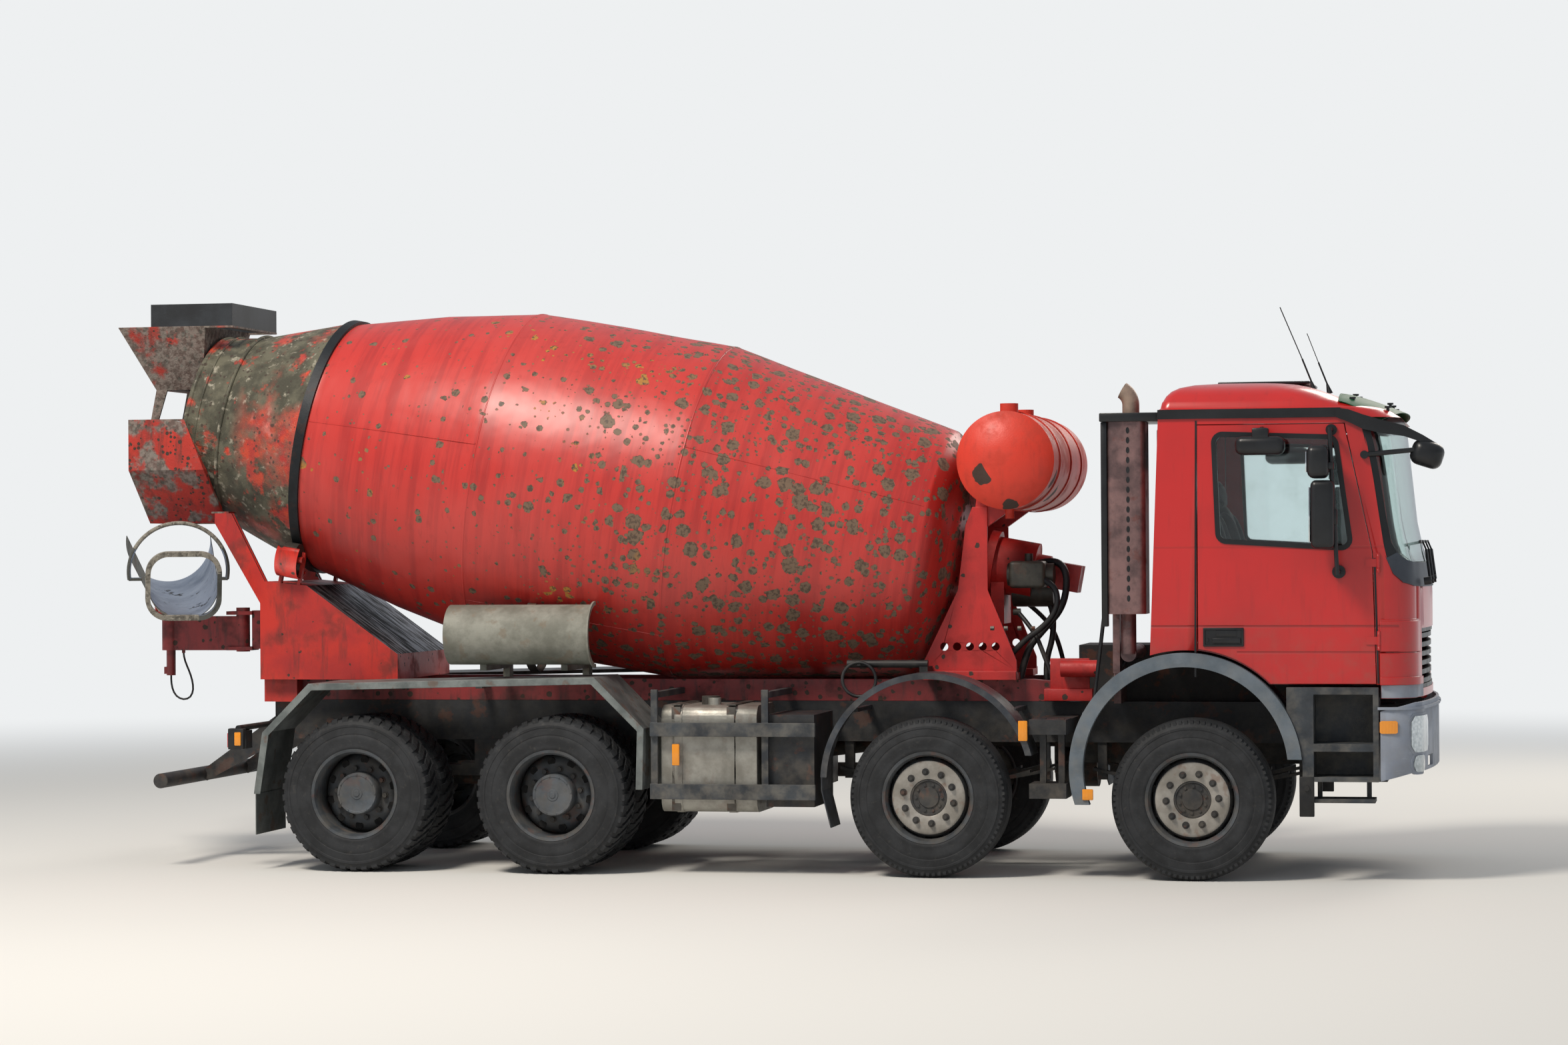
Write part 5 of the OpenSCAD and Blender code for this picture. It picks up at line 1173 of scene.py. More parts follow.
def corner_skin(s, z, side, lift, wall, corner, radius):
    """s runs along a side wall in metres and on round the nose corner and the bowed front."""
    if s <= corner:
        return at(s, side * (wall + lift), z)
    angle = (s - corner) / radius
    if angle < math.pi / 2:
        reach = radius + lift
        y = wall - radius + reach * math.cos(angle)
        return at(corner + reach * math.sin(angle), side * y, z)
    y = max(0.0, wall - radius - (angle - math.pi / 2) * radius)
    bow = math.sqrt(NOSE_BOW ** 2 - y ** 2) - math.sqrt(NOSE_BOW ** 2 - (wall - radius) ** 2)
    return at(corner + radius + bow + lift, side * y, z)


def cab_skin(s, z, side, lift=0.0):
    return corner_skin(s, z, side, lift, CAB_Y, CORNER_X - lean(z), CORNER_R)


def add_band(bm, side, low, high, lift=0.008, sink=0.004, count=1, place=cab_skin):
    """A closed band between two rows of (s, z); each stretch is cut into count pieces."""
    rows = []
    for (a0, a1), (b0, b1) in zip(zip(low, low[1:]), zip(high, high[1:])):
        for k in range(count + (a1 == low[-1])):
            t = k / count
            a = [p + (q - p) * t for p, q in zip(a0, a1)]
            b = [p + (q - p) * t for p, q in zip(b0, b1)]
            rows.append([bm.verts.new(place(*p, side, h))
                         for p, h in ((a, -sink), (a, lift), (b, lift), (b, -sink))])
    skin_rows(bm, rows, closed=True, ends=(0, -1))


PILLAR = [(1.035, 2.965), (1.075, 2.90), (1.11, 2.75), (1.145, 2.55), (1.178, 2.33), (1.205, 2.14),
          (1.225, 2.05)]
GLASS_SIDE = [(1.085, 2.965), (1.125, 2.90), (1.16, 2.75), (1.195, 2.55), (1.228, 2.33),
              (1.262, 2.15), (1.300, 2.085)]
SCREEN_FOOT = [(1.225, 2.05), (1.27, 1.95), (1.34, 1.895), (1.45, 1.872), (1.70, 1.866),
               (2.10, 1.864), (2.45, 1.864)]
GLASS_FOOT = [(1.300, 2.085), (1.33, 2.06), (1.39, 2.035), (1.48, 2.025), (1.70, 2.02),
              (2.10, 2.02), (2.45, 2.02)]
HEADER_LOW = [(1.04, 2.890), (1.20, 2.885), (1.50, 2.885), (2.40, 2.885)]
HEADER_HIGH = [(1.04, 2.985), (1.20, 2.965), (1.50, 2.955), (2.40, 2.950)]
# the door gaps are black bands of painted shade, where the gap between door and body looks dark
SIDE_GAPS = [(0.020, 0.034, 1.30, 2.93), (1.168, 1.150, 1.26, 2.05)]
GAP_WIDTH = 0.012
black_trim_and_gap_shade = bmesh.new()
for side in (-1, 1):
    add_band(black_trim_and_gap_shade, side, [(-0.208, 2.942), (0.95, 2.942)], [(-0.203, 3.002), (0.95, 3.002)],
             lift=0.014, count=4)
    add_band(black_trim_and_gap_shade, side, PILLAR, GLASS_SIDE, lift=0.012, sink=0.03, count=3)
    add_band(black_trim_and_gap_shade, side, HEADER_LOW, HEADER_HIGH, lift=0.008, sink=0.02, count=6)
    for low_s, high_s, low_z, high_z in SIDE_GAPS:
        add_band(black_trim_and_gap_shade, side, [(low_s, low_z), (high_s, high_z)],
                 [(low_s + GAP_WIDTH, low_z), (high_s + GAP_WIDTH, high_z)], lift=0.003)
cab_trim = finish_piece(black_trim_and_gap_shade, "cab_black_trim", "cab", black_plastic)
foot_trim = bmesh.new()
for side in (-1, 1):
    add_band(foot_trim, side, SCREEN_FOOT, GLASS_FOOT, lift=0.016, sink=0.03, count=4)
screen_foot = finish_piece(foot_trim, "screen_foot_panel", "cab", nose_plastic)
lower_trim = bmesh.new()
for side in (-1, 1):
    add_band(lower_trim, side, [(1.192, 1.168), (1.74, 1.168)], [(1.192, 1.248), (1.74, 1.248)],
             lift=0.006, count=14)
lower_panels = finish_piece(lower_trim, "cab_lower_grey_panels", "cab", bumper_plastic)
print("bands on the cab:", len(cab_trim.data.polygons) + len(lower_panels.data.polygons), "faces")

# %% [markdown]
# The windscreen wraps round both front corners. The CAD screen is a plain bowed sheet between two
# posts, so the shell's corners are cut away behind the black frame and one wide glass takes its
# place. The cut is a boolean on a copy of the shell: the knife is a prism drawn in side view.

# %% Wrapped windscreen
GLASS_ROWS = [2.90, 2.82, 2.70, 2.55, 2.40, 2.28, 2.18, 2.12, 2.08, 2.045, 2.025]
GLASS_THICK = 0.006
GLASS_COLUMNS = 26
KNIFE_BACK, KNIFE_FRONT, KNIFE_TOP, KNIFE_HALF = 1.02, 1.60, 3.05, 1.3


def along_edge(rows, z):
    """The s of an edge of falling (s, z) rows at height z."""
    return read_off([(height, s) for s, height in reversed(rows)], z)


def cut_copy(name, knife, new_name, material):
    """A copy of a CAD node with the knife's volume taken out of it."""
    source = nodes[name]
    cut = source.modifiers.new("opening", "BOOLEAN")
    cut.operation, cut.object, cut.solver = "DIFFERENCE", knife, "EXACT"
    mesh = evaluated_mesh(source)
    source.modifiers.remove(cut)
    bpy.data.objects.remove(knife)
    bm = bmesh.new()
    bm.from_mesh(mesh)
    bm.transform(source.matrix_world)
    piece = finish_piece(bm, new_name, "cab", material, smooth=30)
    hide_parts(name)
    return piece


cut_edge = [(s + 0.010, z) for s, z in PILLAR]
cut_edge += [(s + 0.006, z + 0.008) for s, z in SCREEN_FOOT[1:5]]
outline = [(cab_skin(s, z, 1).x - SHIFT, z) for s, z in cut_edge]
outline += [(KNIFE_FRONT, outline[-1][1]), (KNIFE_FRONT, KNIFE_TOP), (KNIFE_BACK, KNIFE_TOP)]
bm = bmesh.new()
sides = [[bm.verts.new(at(x, y, z)) for x, z in outline] for y in (-KNIFE_HALF, KNIFE_HALF)]
skin_rows(bm, sides, closed=True, ends=(0, -1))
bmesh.ops.recalc_face_normals(bm, faces=bm.faces)
screen_knife = new_object("screen_knife", mesh_of(bm, "screen_knife"))
open_shell = cut_copy("cab_shell", screen_knife, "cab_shell_open_corners", cab_paint)

bm = bmesh.new()
sheet = []
for z in GLASS_ROWS:
    start = along_edge(GLASS_SIDE[:-1] + GLASS_FOOT, z) - 0.012
    middle = nose_middle(z)
    half = [start + (middle - start) * (k / GLASS_COLUMNS) ** 1.4 for k in range(GLASS_COLUMNS + 1)]
    row = [bm.verts.new(cab_skin(s, z, -1, 0.002)) for s in half]
    row += [bm.verts.new(cab_skin(s, z, 1, 0.002)) for s in reversed(half[:-1])]
    sheet.append(row)
skin_rows(bm, sheet)
bmesh.ops.recalc_face_normals(bm, faces=bm.faces)
bmesh.ops.solidify(bm, geom=bm.faces[:], thickness=GLASS_THICK)
wrapped_glass = finish_piece(bm, "windscreen_wrapped", "cab", screen_glass, smooth=50)
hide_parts("windscreen")
print("windscreen", len(wrapped_glass.data.polygons), "faces; shell", len(open_shell.data.polygons))

# %% [markdown]
# The roof is one pressed panel with a long soft shoulder, steep at the back and falling gently to
# the screen. It is built from rounded outlines stacked upwards: each outline draws in a little
# from the one below, more at the front than elsewhere, and the last one closes the crown.

# %% Roof panel
ROOF_RINGS = [
    (2.940, 1.152, -0.203, 1.320), (2.985, 1.152, -0.202, 1.250), (3.004, 1.151, -0.201, 1.190),
    (3.012, 1.140, -0.190, 1.150), (3.048, 1.132, -0.182, 1.020), (3.056, 1.124, -0.176, 0.990),
    (3.090, 1.100, -0.158, 0.900), (3.122, 1.060, -0.128, 0.820), (3.148, 1.000, -0.080, 0.740),
    (3.168, 0.900, 0.000, 0.660), (3.181, 0.740, 0.130, 0.570), (3.187, 0.480, 0.260, 0.460),
]
ROOF_REAR_R, ROOF_FRONT_R, ROOF_STEPS = 0.06, 0.24, 8


def roof_ring(bm, z, half, rear, front):
    r0, r1 = (min(r, half * 0.45, (front - rear) * 0.45) for r in (ROOF_REAR_R, ROOF_FRONT_R))
    spots = []
    for x, y, r, start in ((front - r1, half - r1, r1, 0), (rear + r0, half - r0, r0, 90),
                           (rear + r0, r0 - half, r0, 180), (front - r1, r1 - half, r1, 270)):
        for k in range(ROOF_STEPS + 1):
            a = math.radians(start + 90 * k / ROOF_STEPS)
            spots.append((x + r * math.cos(a), y + r * math.sin(a)))
    spots.append((front, 0.0))
    return [bm.verts.new(at(x, y, z)) for x, y in spots]


bm = bmesh.new()
stack = [roof_ring(bm, *row) for row in ROOF_RINGS]
skin_rows(bm, stack, closed=True, ends=(-1,))
add_block(bm, (0.24, -0.965, 3.118), (0.36, -0.90, 3.133), bevel=0.004)
add_rod(bm, (0.30, -0.93, 3.128), (0.30, -0.936, 3.140), 0.012, 10)
roof_panel = finish_piece(bm, "roof_panel", "cab", cab_paint, smooth=38)
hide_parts("cab_roof")
print("roof", len(roof_panel.data.polygons), "faces")

# %% [markdown]
# The sun visor is a smoked green sheet over the top of the screen. It bows with the nose, falls
# forwards, and its ends wrap down. The sheet is a grid bent by those three rules and then given
# a thickness, which keeps its edges clean and lets light through.

# %% Sun visor
VISOR_BACK, VISOR_REACH, VISOR_HALF, VISOR_TOP, VISOR_THICK = 0.935, 0.41, 1.115, 3.118, 0.005
VISOR_ROWS, VISOR_COLUMNS = 12, 48
bm = bmesh.new()
sheet = []
for i in range(VISOR_ROWS + 1):
    v = i / VISOR_ROWS
    row = []
    for j in range(VISOR_COLUMNS + 1):
        y = VISOR_HALF * math.sin(math.pi / 2 * (2 * j / VISOR_COLUMNS - 1))
        side_drop = abs(y / VISOR_HALF) ** 7
        x = VISOR_BACK + VISOR_REACH * v - 0.05 * v * (y / VISOR_HALF) ** 2 - 0.10 * v * side_drop
        z = VISOR_TOP - 0.13 * v ** 1.35 - 0.055 * side_drop - 0.016 * (y / VISOR_HALF) ** 2
        row.append(bm.verts.new(at(x, y, z)))
    sheet.append(row)
skin_rows(bm, sheet)
bmesh.ops.recalc_face_normals(bm, faces=bm.faces)
bmesh.ops.solidify(bm, geom=bm.faces[:], thickness=VISOR_THICK)
visor = finish_piece(bm, "sun_visor_sheet", "cab", visor_tint, smooth=50)
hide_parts("sun_visor")
print("visor", len(visor.data.polygons), "faces")

# %% [markdown]
# Below the screen the nose corner carries a raised red cover that flares out at its foot. It is
# the same kind of band, in three heights with different lifts, so that its ledges catch light.

# %% Raised corner covers
corner_bm = bmesh.new()
COVER_STEPS = [(1.250, 1.300, 0.030), (1.296, 1.452, 0.019), (1.458, 1.652, 0.016),
               (1.648, 1.664, 0.006)]
for side in (-1, 1):
    for z0, z1, lift in COVER_STEPS:
        add_band(corner_bm, side, [(1.186, z0), (1.60, z0)], [(1.186, z1), (1.60, z1)], lift=lift,
                 count=12)
corner_covers = finish_piece(corner_bm, "cab_corner_covers", "cab", cab_paint, smooth=50)
rounding = corner_covers.modifiers.new("soft_edges", "BEVEL")
rounding.width, rounding.segments, rounding.limit_method = 0.004, 2, "ANGLE"
print("corner covers", len(corner_covers.data.polygons), "faces")

# %% [markdown]
# The door windows sit in black rubber. Each seal follows the rounded window outline, so it is
# drawn as a band whose two edges are that outline and the same outline drawn in. Four loops are
# bridged, which gives the band its two thin sides as well as its face.

# %% Window seals
WINDOW = [(0.143, 2.851), (0.921, 2.822), (1.019, 2.105), (0.170, 2.158)]


def round_outline(corners, radius, inward, steps=6):
    """Corner points of a convex outline, rounded and drawn inward."""
    rows = []
    for k, p in enumerate(corners):
        p = Vector(p)
        a = (Vector(corners[k - 1]) - p).normalized()
        b = (Vector(corners[(k + 1) % len(corners)]) - p).normalized()
        half = a.angle(b) / 2
        middle = p + (a + b).normalized() * (radius / math.sin(half))
        start = p + a * radius / math.tan(half) - middle
        end = p + b * radius / math.tan(half) - middle
        for i in range(steps + 1):
            spoke = (start * (1 - i / steps) + end * (i / steps)).normalized()
            rows.append(tuple(middle + spoke * (radius - inward)))
    return rows


for side, name in SIDES:
    bm = bmesh.new()
    outer, inner = round_outline(WINDOW, 0.06, -0.010), round_outline(WINDOW, 0.06, 0.022)
    loops = []
    for rows, y in ((outer, 1.1445), (outer, 1.156), (inner, 1.156), (inner, 1.112)):
        ring = [bm.verts.new(at(x, side * y, z)) for x, z in rows]
        loops.append([bm.edges.new((ring[k - 1], ring[k])) for k in range(len(ring))])
    for first, second in zip(loops, loops[1:]):
        bmesh.ops.bridge_loops(bm, edges=first + second)
    seal = finish_piece(bm, f"window_seal_{name}", f"door_{name}", black_plastic)
print("window seals on both doors")

# %% [markdown]
# A door handle is a black moulded plate with a grip over a recess and a round lock. The recess
# can't be cut into the CAD door, so the plate stands a little proud and is inset twice: the first
# inset makes its rim, the second sinks the panel behind the grip.

# %% Door handles
def span(side, inner, outer):
    """The low and high y of a stretch that lies between two distances from the middle."""
    return sorted((side * inner, side * outer))


def add_side_block(bm, side, x0, x1, inner, outer, z0, z1, bevel, **shape):
    """A block on one side of the truck, between two distances from the middle."""
    y0, y1 = span(side, inner, outer)
    return add_block(bm, (x0, y0, z0), (x1, y1, z1), bevel=bevel, **shape)


for side, name in SIDES:
    bm = bmesh.new()
    add_side_block(bm, side, 0.077, 0.334, 1.148, 1.162, 1.493, 1.613, 0.004)
    face = max(bm.faces, key=lambda f: f.calc_area() * (f.normal.y * side > 0.9))
    bmesh.ops.inset_individual(bm, faces=[face], thickness=0.012, depth=0.0)
    bmesh.ops.inset_individual(bm, faces=[face], thickness=0.002, depth=-0.007)
    add_side_block(bm, side, 0.135, 0.315, 1.156, 1.172, 1.515, 1.548, 0.005)
    add_side_block(bm, side, 0.160, 0.290, 1.150, 1.157, 1.556, 1.598, 0.002)
    add_rod(bm, (0.103, side * 1.15, 1.535), (0.103, side * 1.166, 1.535), 0.010, 16)
    handle = finish_piece(bm, f"door_handle_{name}", f"door_{name}", black_plastic)
print("door handles ready")

# %% [markdown]
# The mirrors hang on a black pole that stands off each door: a tall one, a wide-angle one above
# it, and a kerb mirror over the window on its own short arm. A housing is a block whose edges are
# rounded until it looks blown, narrowed towards its outer end. The glass faces back.

# %% Mirror housings
def add_housing(bm, low, high, narrow, bevel, axis=2):
    """A rounded block that narrows towards both of its ends along one axis."""
    made = add_block(bm, low, high, bevel=bevel, segments=5)
    spots = [v.co[axis] for v in made]
    foot, top = min(spots), max(spots)
    middle = sum((v.co for v in made), Vector()) / len(made)
    for v in made:
        t = (v.co[axis] - foot) / (top - foot)
        for k in range(3):
            if k != axis:
                v.co[k] = middle[k] + (v.co[k] - middle[k]) * (1 - narrow * abs(t - 0.5) ** 1.5 * 2)
    return made


# two ends, given for the left side, and the radius of each rod that holds a mirror
MIRROR_RODS = [((0.892, 1.37, 2.87), (0.903, 1.37, 2.6), 0.014),
               ((0.903, 1.37, 2.6), (0.935, 1.37, 1.945), 0.014),
               ((0.893, 1.145, 2.862), (0.893, 1.372, 2.862), 0.013),
               ((0.934, 1.145, 1.965), (0.934, 1.372, 1.965), 0.013),
               ((0.893, 1.15, 2.862), (0.893, 1.165, 2.862), 0.036),
               ((0.934, 1.15, 1.965), (0.934, 1.18, 1.965), 0.042),
               ((0.46, 1.145, 2.875), (0.46, 1.35, 2.862), 0.014)]
for side, name in SIDES:
    bm = bmesh.new()
    y0, y1 = span(side, 1.235, 1.452)
    add_housing(bm, (0.768, y0, 2.112), (0.925, y1, 2.540), 0.14, 0.035)
    add_housing(bm, (0.750, y0, 2.552), (0.890, y1, 2.760), 0.16, 0.040)
    y2, y3 = span(side, 1.262, 1.418)
    add_housing(bm, (0.304, y2, 2.695), (0.614, y3, 2.828), 0.28, 0.045, axis=0)
    for start, end, r in MIRROR_RODS:
        ends = [(x, side * y, z) for x, y, z in (start, end)]
        add_rod(bm, *ends, r, 18)
    for x, z, h in ((0.895, 2.63, 0.045), (0.915, 2.31, 0.10)):
        add_side_block(bm, side, x - 0.05, x + 0.022, 1.33, 1.40, z - h / 2, z + h / 2, 0.008)
    add_side_block(bm, side, 0.41, 0.515, 1.30, 1.395, 2.79, 2.873, 0.012)
    housings = finish_piece(bm, f"door_mirrors_{name}", f"door_{name}", black_plastic, smooth=40)
    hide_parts(f"mirrors_{name}")
    bm = bmesh.new()
    add_block(bm, (0.7625, y0 + 0.028, 2.155), (0.7695, y1 - 0.028, 2.497), bevel=0.003)
    add_block(bm, (0.7445, y0 + 0.034, 2.592), (0.7515, y1 - 0.034, 2.720), bevel=0.003)
    faces = finish_piece(bm, f"mirror_glass_{name}", f"door_{name}", mirror_face)
print("mirrors on both doors")

# %% [markdown]
# The front mirror looks down over the nose. A broad flat arm leaves the rain strip and narrows
# towards the housing; a round one props it from below. The smoked visor is held by black brackets,
# two whip aerials on rubber feet lean back from the roof, and three wipers rest on the screen.

# %% Front mirror, visor brackets, aerials, roof hatch and wipers
bm = bmesh.new()
wing = add_housing(bm, (1.375, -1.165, 2.618), (1.592, -0.905, 2.792), 0.25, 0.060, axis=1)
bmesh.ops.rotate(bm, cent=at(1.48, -1.03, 2.70), matrix=Matrix.Rotation(math.radians(18), 3, "Y"),
                 verts=wing)
ARM = [((0.92, -1.160), 2.972, 0.030), ((1.00, -1.166), 2.950, 0.040),
       ((1.09, -1.170), 2.910, 0.046), ((1.20, -1.170), 2.880, 0.042),
       ((1.345, -1.150), 2.850, 0.034), ((1.46, -1.120), 2.800, 0.024),
       ((1.55, -1.075), 2.752, 0.016)]
rows = [[bm.verts.new(at(x, y + dy, z + dz * half))
         for dy, dz in ((-0.011, -1), (0.011, -1), (0.011, 1), (-0.011, 1))]
        for (x, y), z, half in ARM]
skin_rows(bm, rows, closed=True, ends=(0, -1))
add_rod(bm, (1.098, -1.165, 2.702), (1.46, -1.12, 2.735), 0.016, 16)
add_rod(bm, (1.098, -1.148, 2.702), (1.098, -1.182, 2.702), 0.026, 18)
front_arm = finish_piece(bm, "front_mirror_and_arms", "cab", black_plastic, smooth=40)
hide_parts("front_mirror")
bm = bmesh.new()
for y in (-0.985, -0.55, 0.0, 0.55, 0.985):
    rise = VISOR_TOP - 0.016 * (y / VISOR_HALF) ** 2 - (0.028 if abs(y) > 0.9 else 0.0)
    for x, drop in ((1.02, 0.012), (1.24, 0.073)):
        add_rod(bm, (x, y, rise - drop - 0.075), (x, y, rise - drop + 0.006), 0.010, 10)
        add_rod(bm, (x, y, rise - drop - 0.004), (x, y, rise - drop + 0.008), 0.020, 14)
AERIALS = [((0.756, 3.15), (0.54, 3.678), -0.6, 0.0035), ((0.81, 3.17), (0.66, 3.557), 0.3, 0.0028)]
for (x0, z0), (x1, z1), y, r in AERIALS:
    add_rod(bm, (x0, y, z0 - 0.02), (x0 - 0.02, y, z0 + 0.05), 0.022, 14, radius_end=0.006)
    add_rod(bm, (x0 - 0.02, y, z0 + 0.05), (x0 - 0.075, y, z0 + 0.19), 0.006, 10)
    add_rod(bm, (x0 - 0.075, y, z0 + 0.19), (x1, y, z1), r, 8)
add_block(bm, (0.12, -0.42, 3.186), (0.72, 0.42, 3.206), bevel=0.008)
for y, reach in ((-0.78, 0.62), (-0.12, 0.62), (0.52, 0.5)):
    add_rod(bm, (1.452, y, 1.900), (1.497, y, 1.905), 0.026, 14)
    add_rod(bm, (1.492, y, 1.905), (1.463, y + 0.16, 2.10), 0.010, 8)
    add_rod(bm, (1.463, y + 0.16, 2.10), (1.437, y + 0.20, 2.16), 0.006, 8)
    add_block(bm, (1.425, y + 0.20 - reach / 2, 2.145), (1.438, y + 0.20 + reach / 2, 2.163),
              bevel=0.003)
fittings = finish_piece(bm, "roof_and_screen_fittings", "cab", black_plastic, smooth=40)
print("front fittings", len(fittings.data.polygons), "faces")

# %% [markdown]
# The lamps sit in the bumper's corner. A headlamp is a rounded rectangle of clear cover in a grey
# frame, over a bright bowl that takes the place of the CAD lamp. All three are bands on the
# bumper's own corner. Side markers are small blocks of dyed plastic with a fine ribbing.

# %% Lamps in the bumper
BUMPER_Y, BUMPER_CORNER_X, BUMPER_R = 1.180, 1.215, 0.230


def bumper_skin(s, z, side, lift=0.0):
    return corner_skin(s, z, side, lift, BUMPER_Y, BUMPER_CORNER_X, BUMPER_R)


def wrap_outline(low_s, high_s, low_z, high_z, radius, count=10):
    """Lower and upper rows of a rounded rectangle, for add_band."""
    low, high = [], []
    for k in range(count + 1):
        s = low_s + (high_s - low_s) * k / count
        near = min(s - low_s, high_s - s, radius)
        cut = radius - math.sqrt(max(0.0, radius ** 2 - (radius - near) ** 2))
        low.append((s, low_z + cut))
        high.append((s, high_z - cut))
    return low, high


HEADLAMP = (1.385, 1.690, 0.825, 1.055)
FOG_LAMP = (1.405, 1.560, 0.700, 0.805)
frame_bm, bowl_bm, cover_bm = bmesh.new(), bmesh.new(), bmesh.new()
for side in (-1, 1):
    for low_s, high_s, low_z, high_z in (HEADLAMP, FOG_LAMP):
        for bm, edge, radius, lift, sink in ((frame_bm, 0.016, 0.05, 0.003, 0.02),
                                             (bowl_bm, 0.0, 0.04, 0.006, 0.01),
                                             (cover_bm, 0.0, 0.04, 0.011, -0.007)):
            rows = wrap_outline(low_s - edge, high_s + edge, low_z - edge, high_z + edge, radius)
            add_band(bm, side, *rows, lift=lift, sink=sink, count=2, place=bumper_skin)
    add_band(frame_bm, side, [(1.17, 1.095), (2.45, 1.095)], [(1.17, 1.112), (2.45, 1.112)],
             lift=0.012, sink=0.01, count=16, place=bumper_skin)
lamp_frames = finish_piece(frame_bm, "bumper_ledges_and_frames", "chassis", bumper_plastic,
                           smooth=30)
lamp_bowls = finish_piece(bowl_bm, "headlamp_bowls", "chassis", reflector)
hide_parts("headlamps")
lamp_covers = finish_piece(cover_bm, "headlamp_covers", "chassis", lamp_cover)
marker_bm = bmesh.new()
for side in (-1, 1):
    rows = wrap_outline(1.182, 1.292, 0.946, 1.026, 0.008)
    add_band(marker_bm, side, *rows, lift=0.010, sink=0.004, place=bumper_skin)
markers = finish_piece(marker_bm, "bumper_side_markers", "chassis", amber_lens)
print("lamps", len(lamp_bowls.data.polygons), "bowl faces")

# %% [markdown]
# Seats are foam cushions under cloth with a firm bolster on each side. A cushion is a block whose
# faces are cut into a grid and pushed outwards by a smooth dome, so it looks stuffed. The back
# leans, carries a headrest on two rods, and a belt hangs beside it. The dashboard follows the nose.

# %% Cab interior
SEAT_Y = 0.60
# centre, size, swell and lean of the base, the back, the headrest and the bolsters
CUSHIONS = [((0.47, 0, 1.785), (0.50, 0.30, 0.11), 0.25, -4),
            ((0.125, 0, 2.105), (0.12, 0.30, 0.52), 0.25, -14),
            ((0.03, 0, 2.475), (0.09, 0.27, 0.16), 0.35, -12),
            ((0.47, 0.19, 1.80), (0.46, 0.09, 0.13), 0.2, -4),
            ((0.47, -0.19, 1.80), (0.46, 0.09, 0.13), 0.2, -4),
            ((0.14, 0.185, 2.10), (0.13, 0.08, 0.44), 0.2, -14),
            ((0.14, -0.185, 2.10), (0.13, 0.08, 0.44), 0.2, -14)]
WHEEL_LEAN_DEG, WHEEL_R, WHEEL_RIM_R = -25, 0.225, 0.016


def add_cushion(bm, centre, size, swell, turn):
    """A stuffed block: each point moves out by a dome over its face, in the cushion's own frame."""
    made = bmesh.ops.create_cube(bm, size=2.0)["verts"]
    edges = list({e for v in made for e in v.link_edges})
    bmesh.ops.subdivide_edges(bm, edges=edges, cuts=9, use_grid_fill=True)
    made = [v for v in bm.verts if v.is_valid and max(abs(c) for c in v.co) <= 1.0001 and not v.tag]
    for v in made:
        p = v.co.copy()
        pushed = []
        for k, c in enumerate(p):
            a, b = p[(k + 1) % 3], p[(k + 2) % 3]
            round_off = c * (1 - 0.10 * max(a ** 8, b ** 8))
            dome = c * swell * (1 - a ** 2) * (1 - b ** 2) if abs(c) > 0.999 else 0
            pushed.append((round_off + dome) * size[k] / 2)
        v.co = at(*centre) + turn @ Vector(pushed)
        v.tag = True


interior_bm = bmesh.new()
for side, name in SIDES:
    bm = bmesh.new()
    for centre, size, swell, lean_deg in CUSHIONS:
        add_cushion(bm, (centre[0], side * SEAT_Y + centre[1], centre[2]), size, swell,
                    Matrix.Rotation(math.radians(lean_deg), 3, "Y"))
    seat = finish_piece(bm, f"seat_cushions_{name}", "cab", seat_cloth, smooth=60)
    if side < 0:
        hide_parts("cab_interior")
    for y in (-0.05, 0.05):
        add_rod(interior_bm, (0.075, side * SEAT_Y + y, 2.33), (0.045, side * SEAT_Y + y, 2.42),
                0.007, 8)
    add_block(interior_bm, (0.24, side * SEAT_Y - 0.15, 1.32), (0.60, side * SEAT_Y + 0.15, 1.72),
              bevel=0.02)
add_block(interior_bm, (1.10, -1.05, 1.70), (1.36, 1.05, 1.90), bevel=0.05, segments=4)
add_block(interior_bm, (1.13, 0.33, 1.86), (1.30, 0.87, 1.965), bevel=0.035, segments=4)
add_block(interior_bm, (-0.215, -1.10, 1.60), (-0.19, 1.10, 2.88), bevel=0.01)
wheel_turn = Matrix.Rotation(math.radians(WHEEL_LEAN_DEG), 3, "Y")
wheel_axis = wheel_turn @ Vector((0, 0, 1))
hub = Vector((0.82, SEAT_Y, 2.03))
rim = [(WHEEL_RIM_R * math.sin(a), WHEEL_R + WHEEL_RIM_R * math.cos(a))
       for a in (math.tau * k / 12 for k in range(13))]
add_spin(interior_bm, rim, at(*hub), wheel_axis, 48)
for turn in (0, math.tau / 3, 2 * math.tau / 3):
    spoke = wheel_turn @ Vector((math.cos(turn), math.sin(turn), 0))
    add_rod(interior_bm, hub, hub + spoke * 0.22, 0.016, 10, radius_end=0.012)
add_rod(interior_bm, hub - wheel_axis * 0.03, hub + wheel_axis * 0.015, 0.062, 20)
add_rod(interior_bm, hub, (1.16, SEAT_Y, 1.86), 0.035, 14)
dashboard = finish_piece(interior_bm, "dashboard_and_steering_wheel", "cab", trim_plastic,
                         smooth=40)
belt = add_tube("seat_belt_strap",
                [(-0.16, -1.02, 2.62), (-0.08, -0.98, 2.3), (0.06, -0.93, 1.95),
                 (0.12, -0.90, 1.70)], 0.013, "cab", seat_cloth, sides=1)
print("cab interior ready")
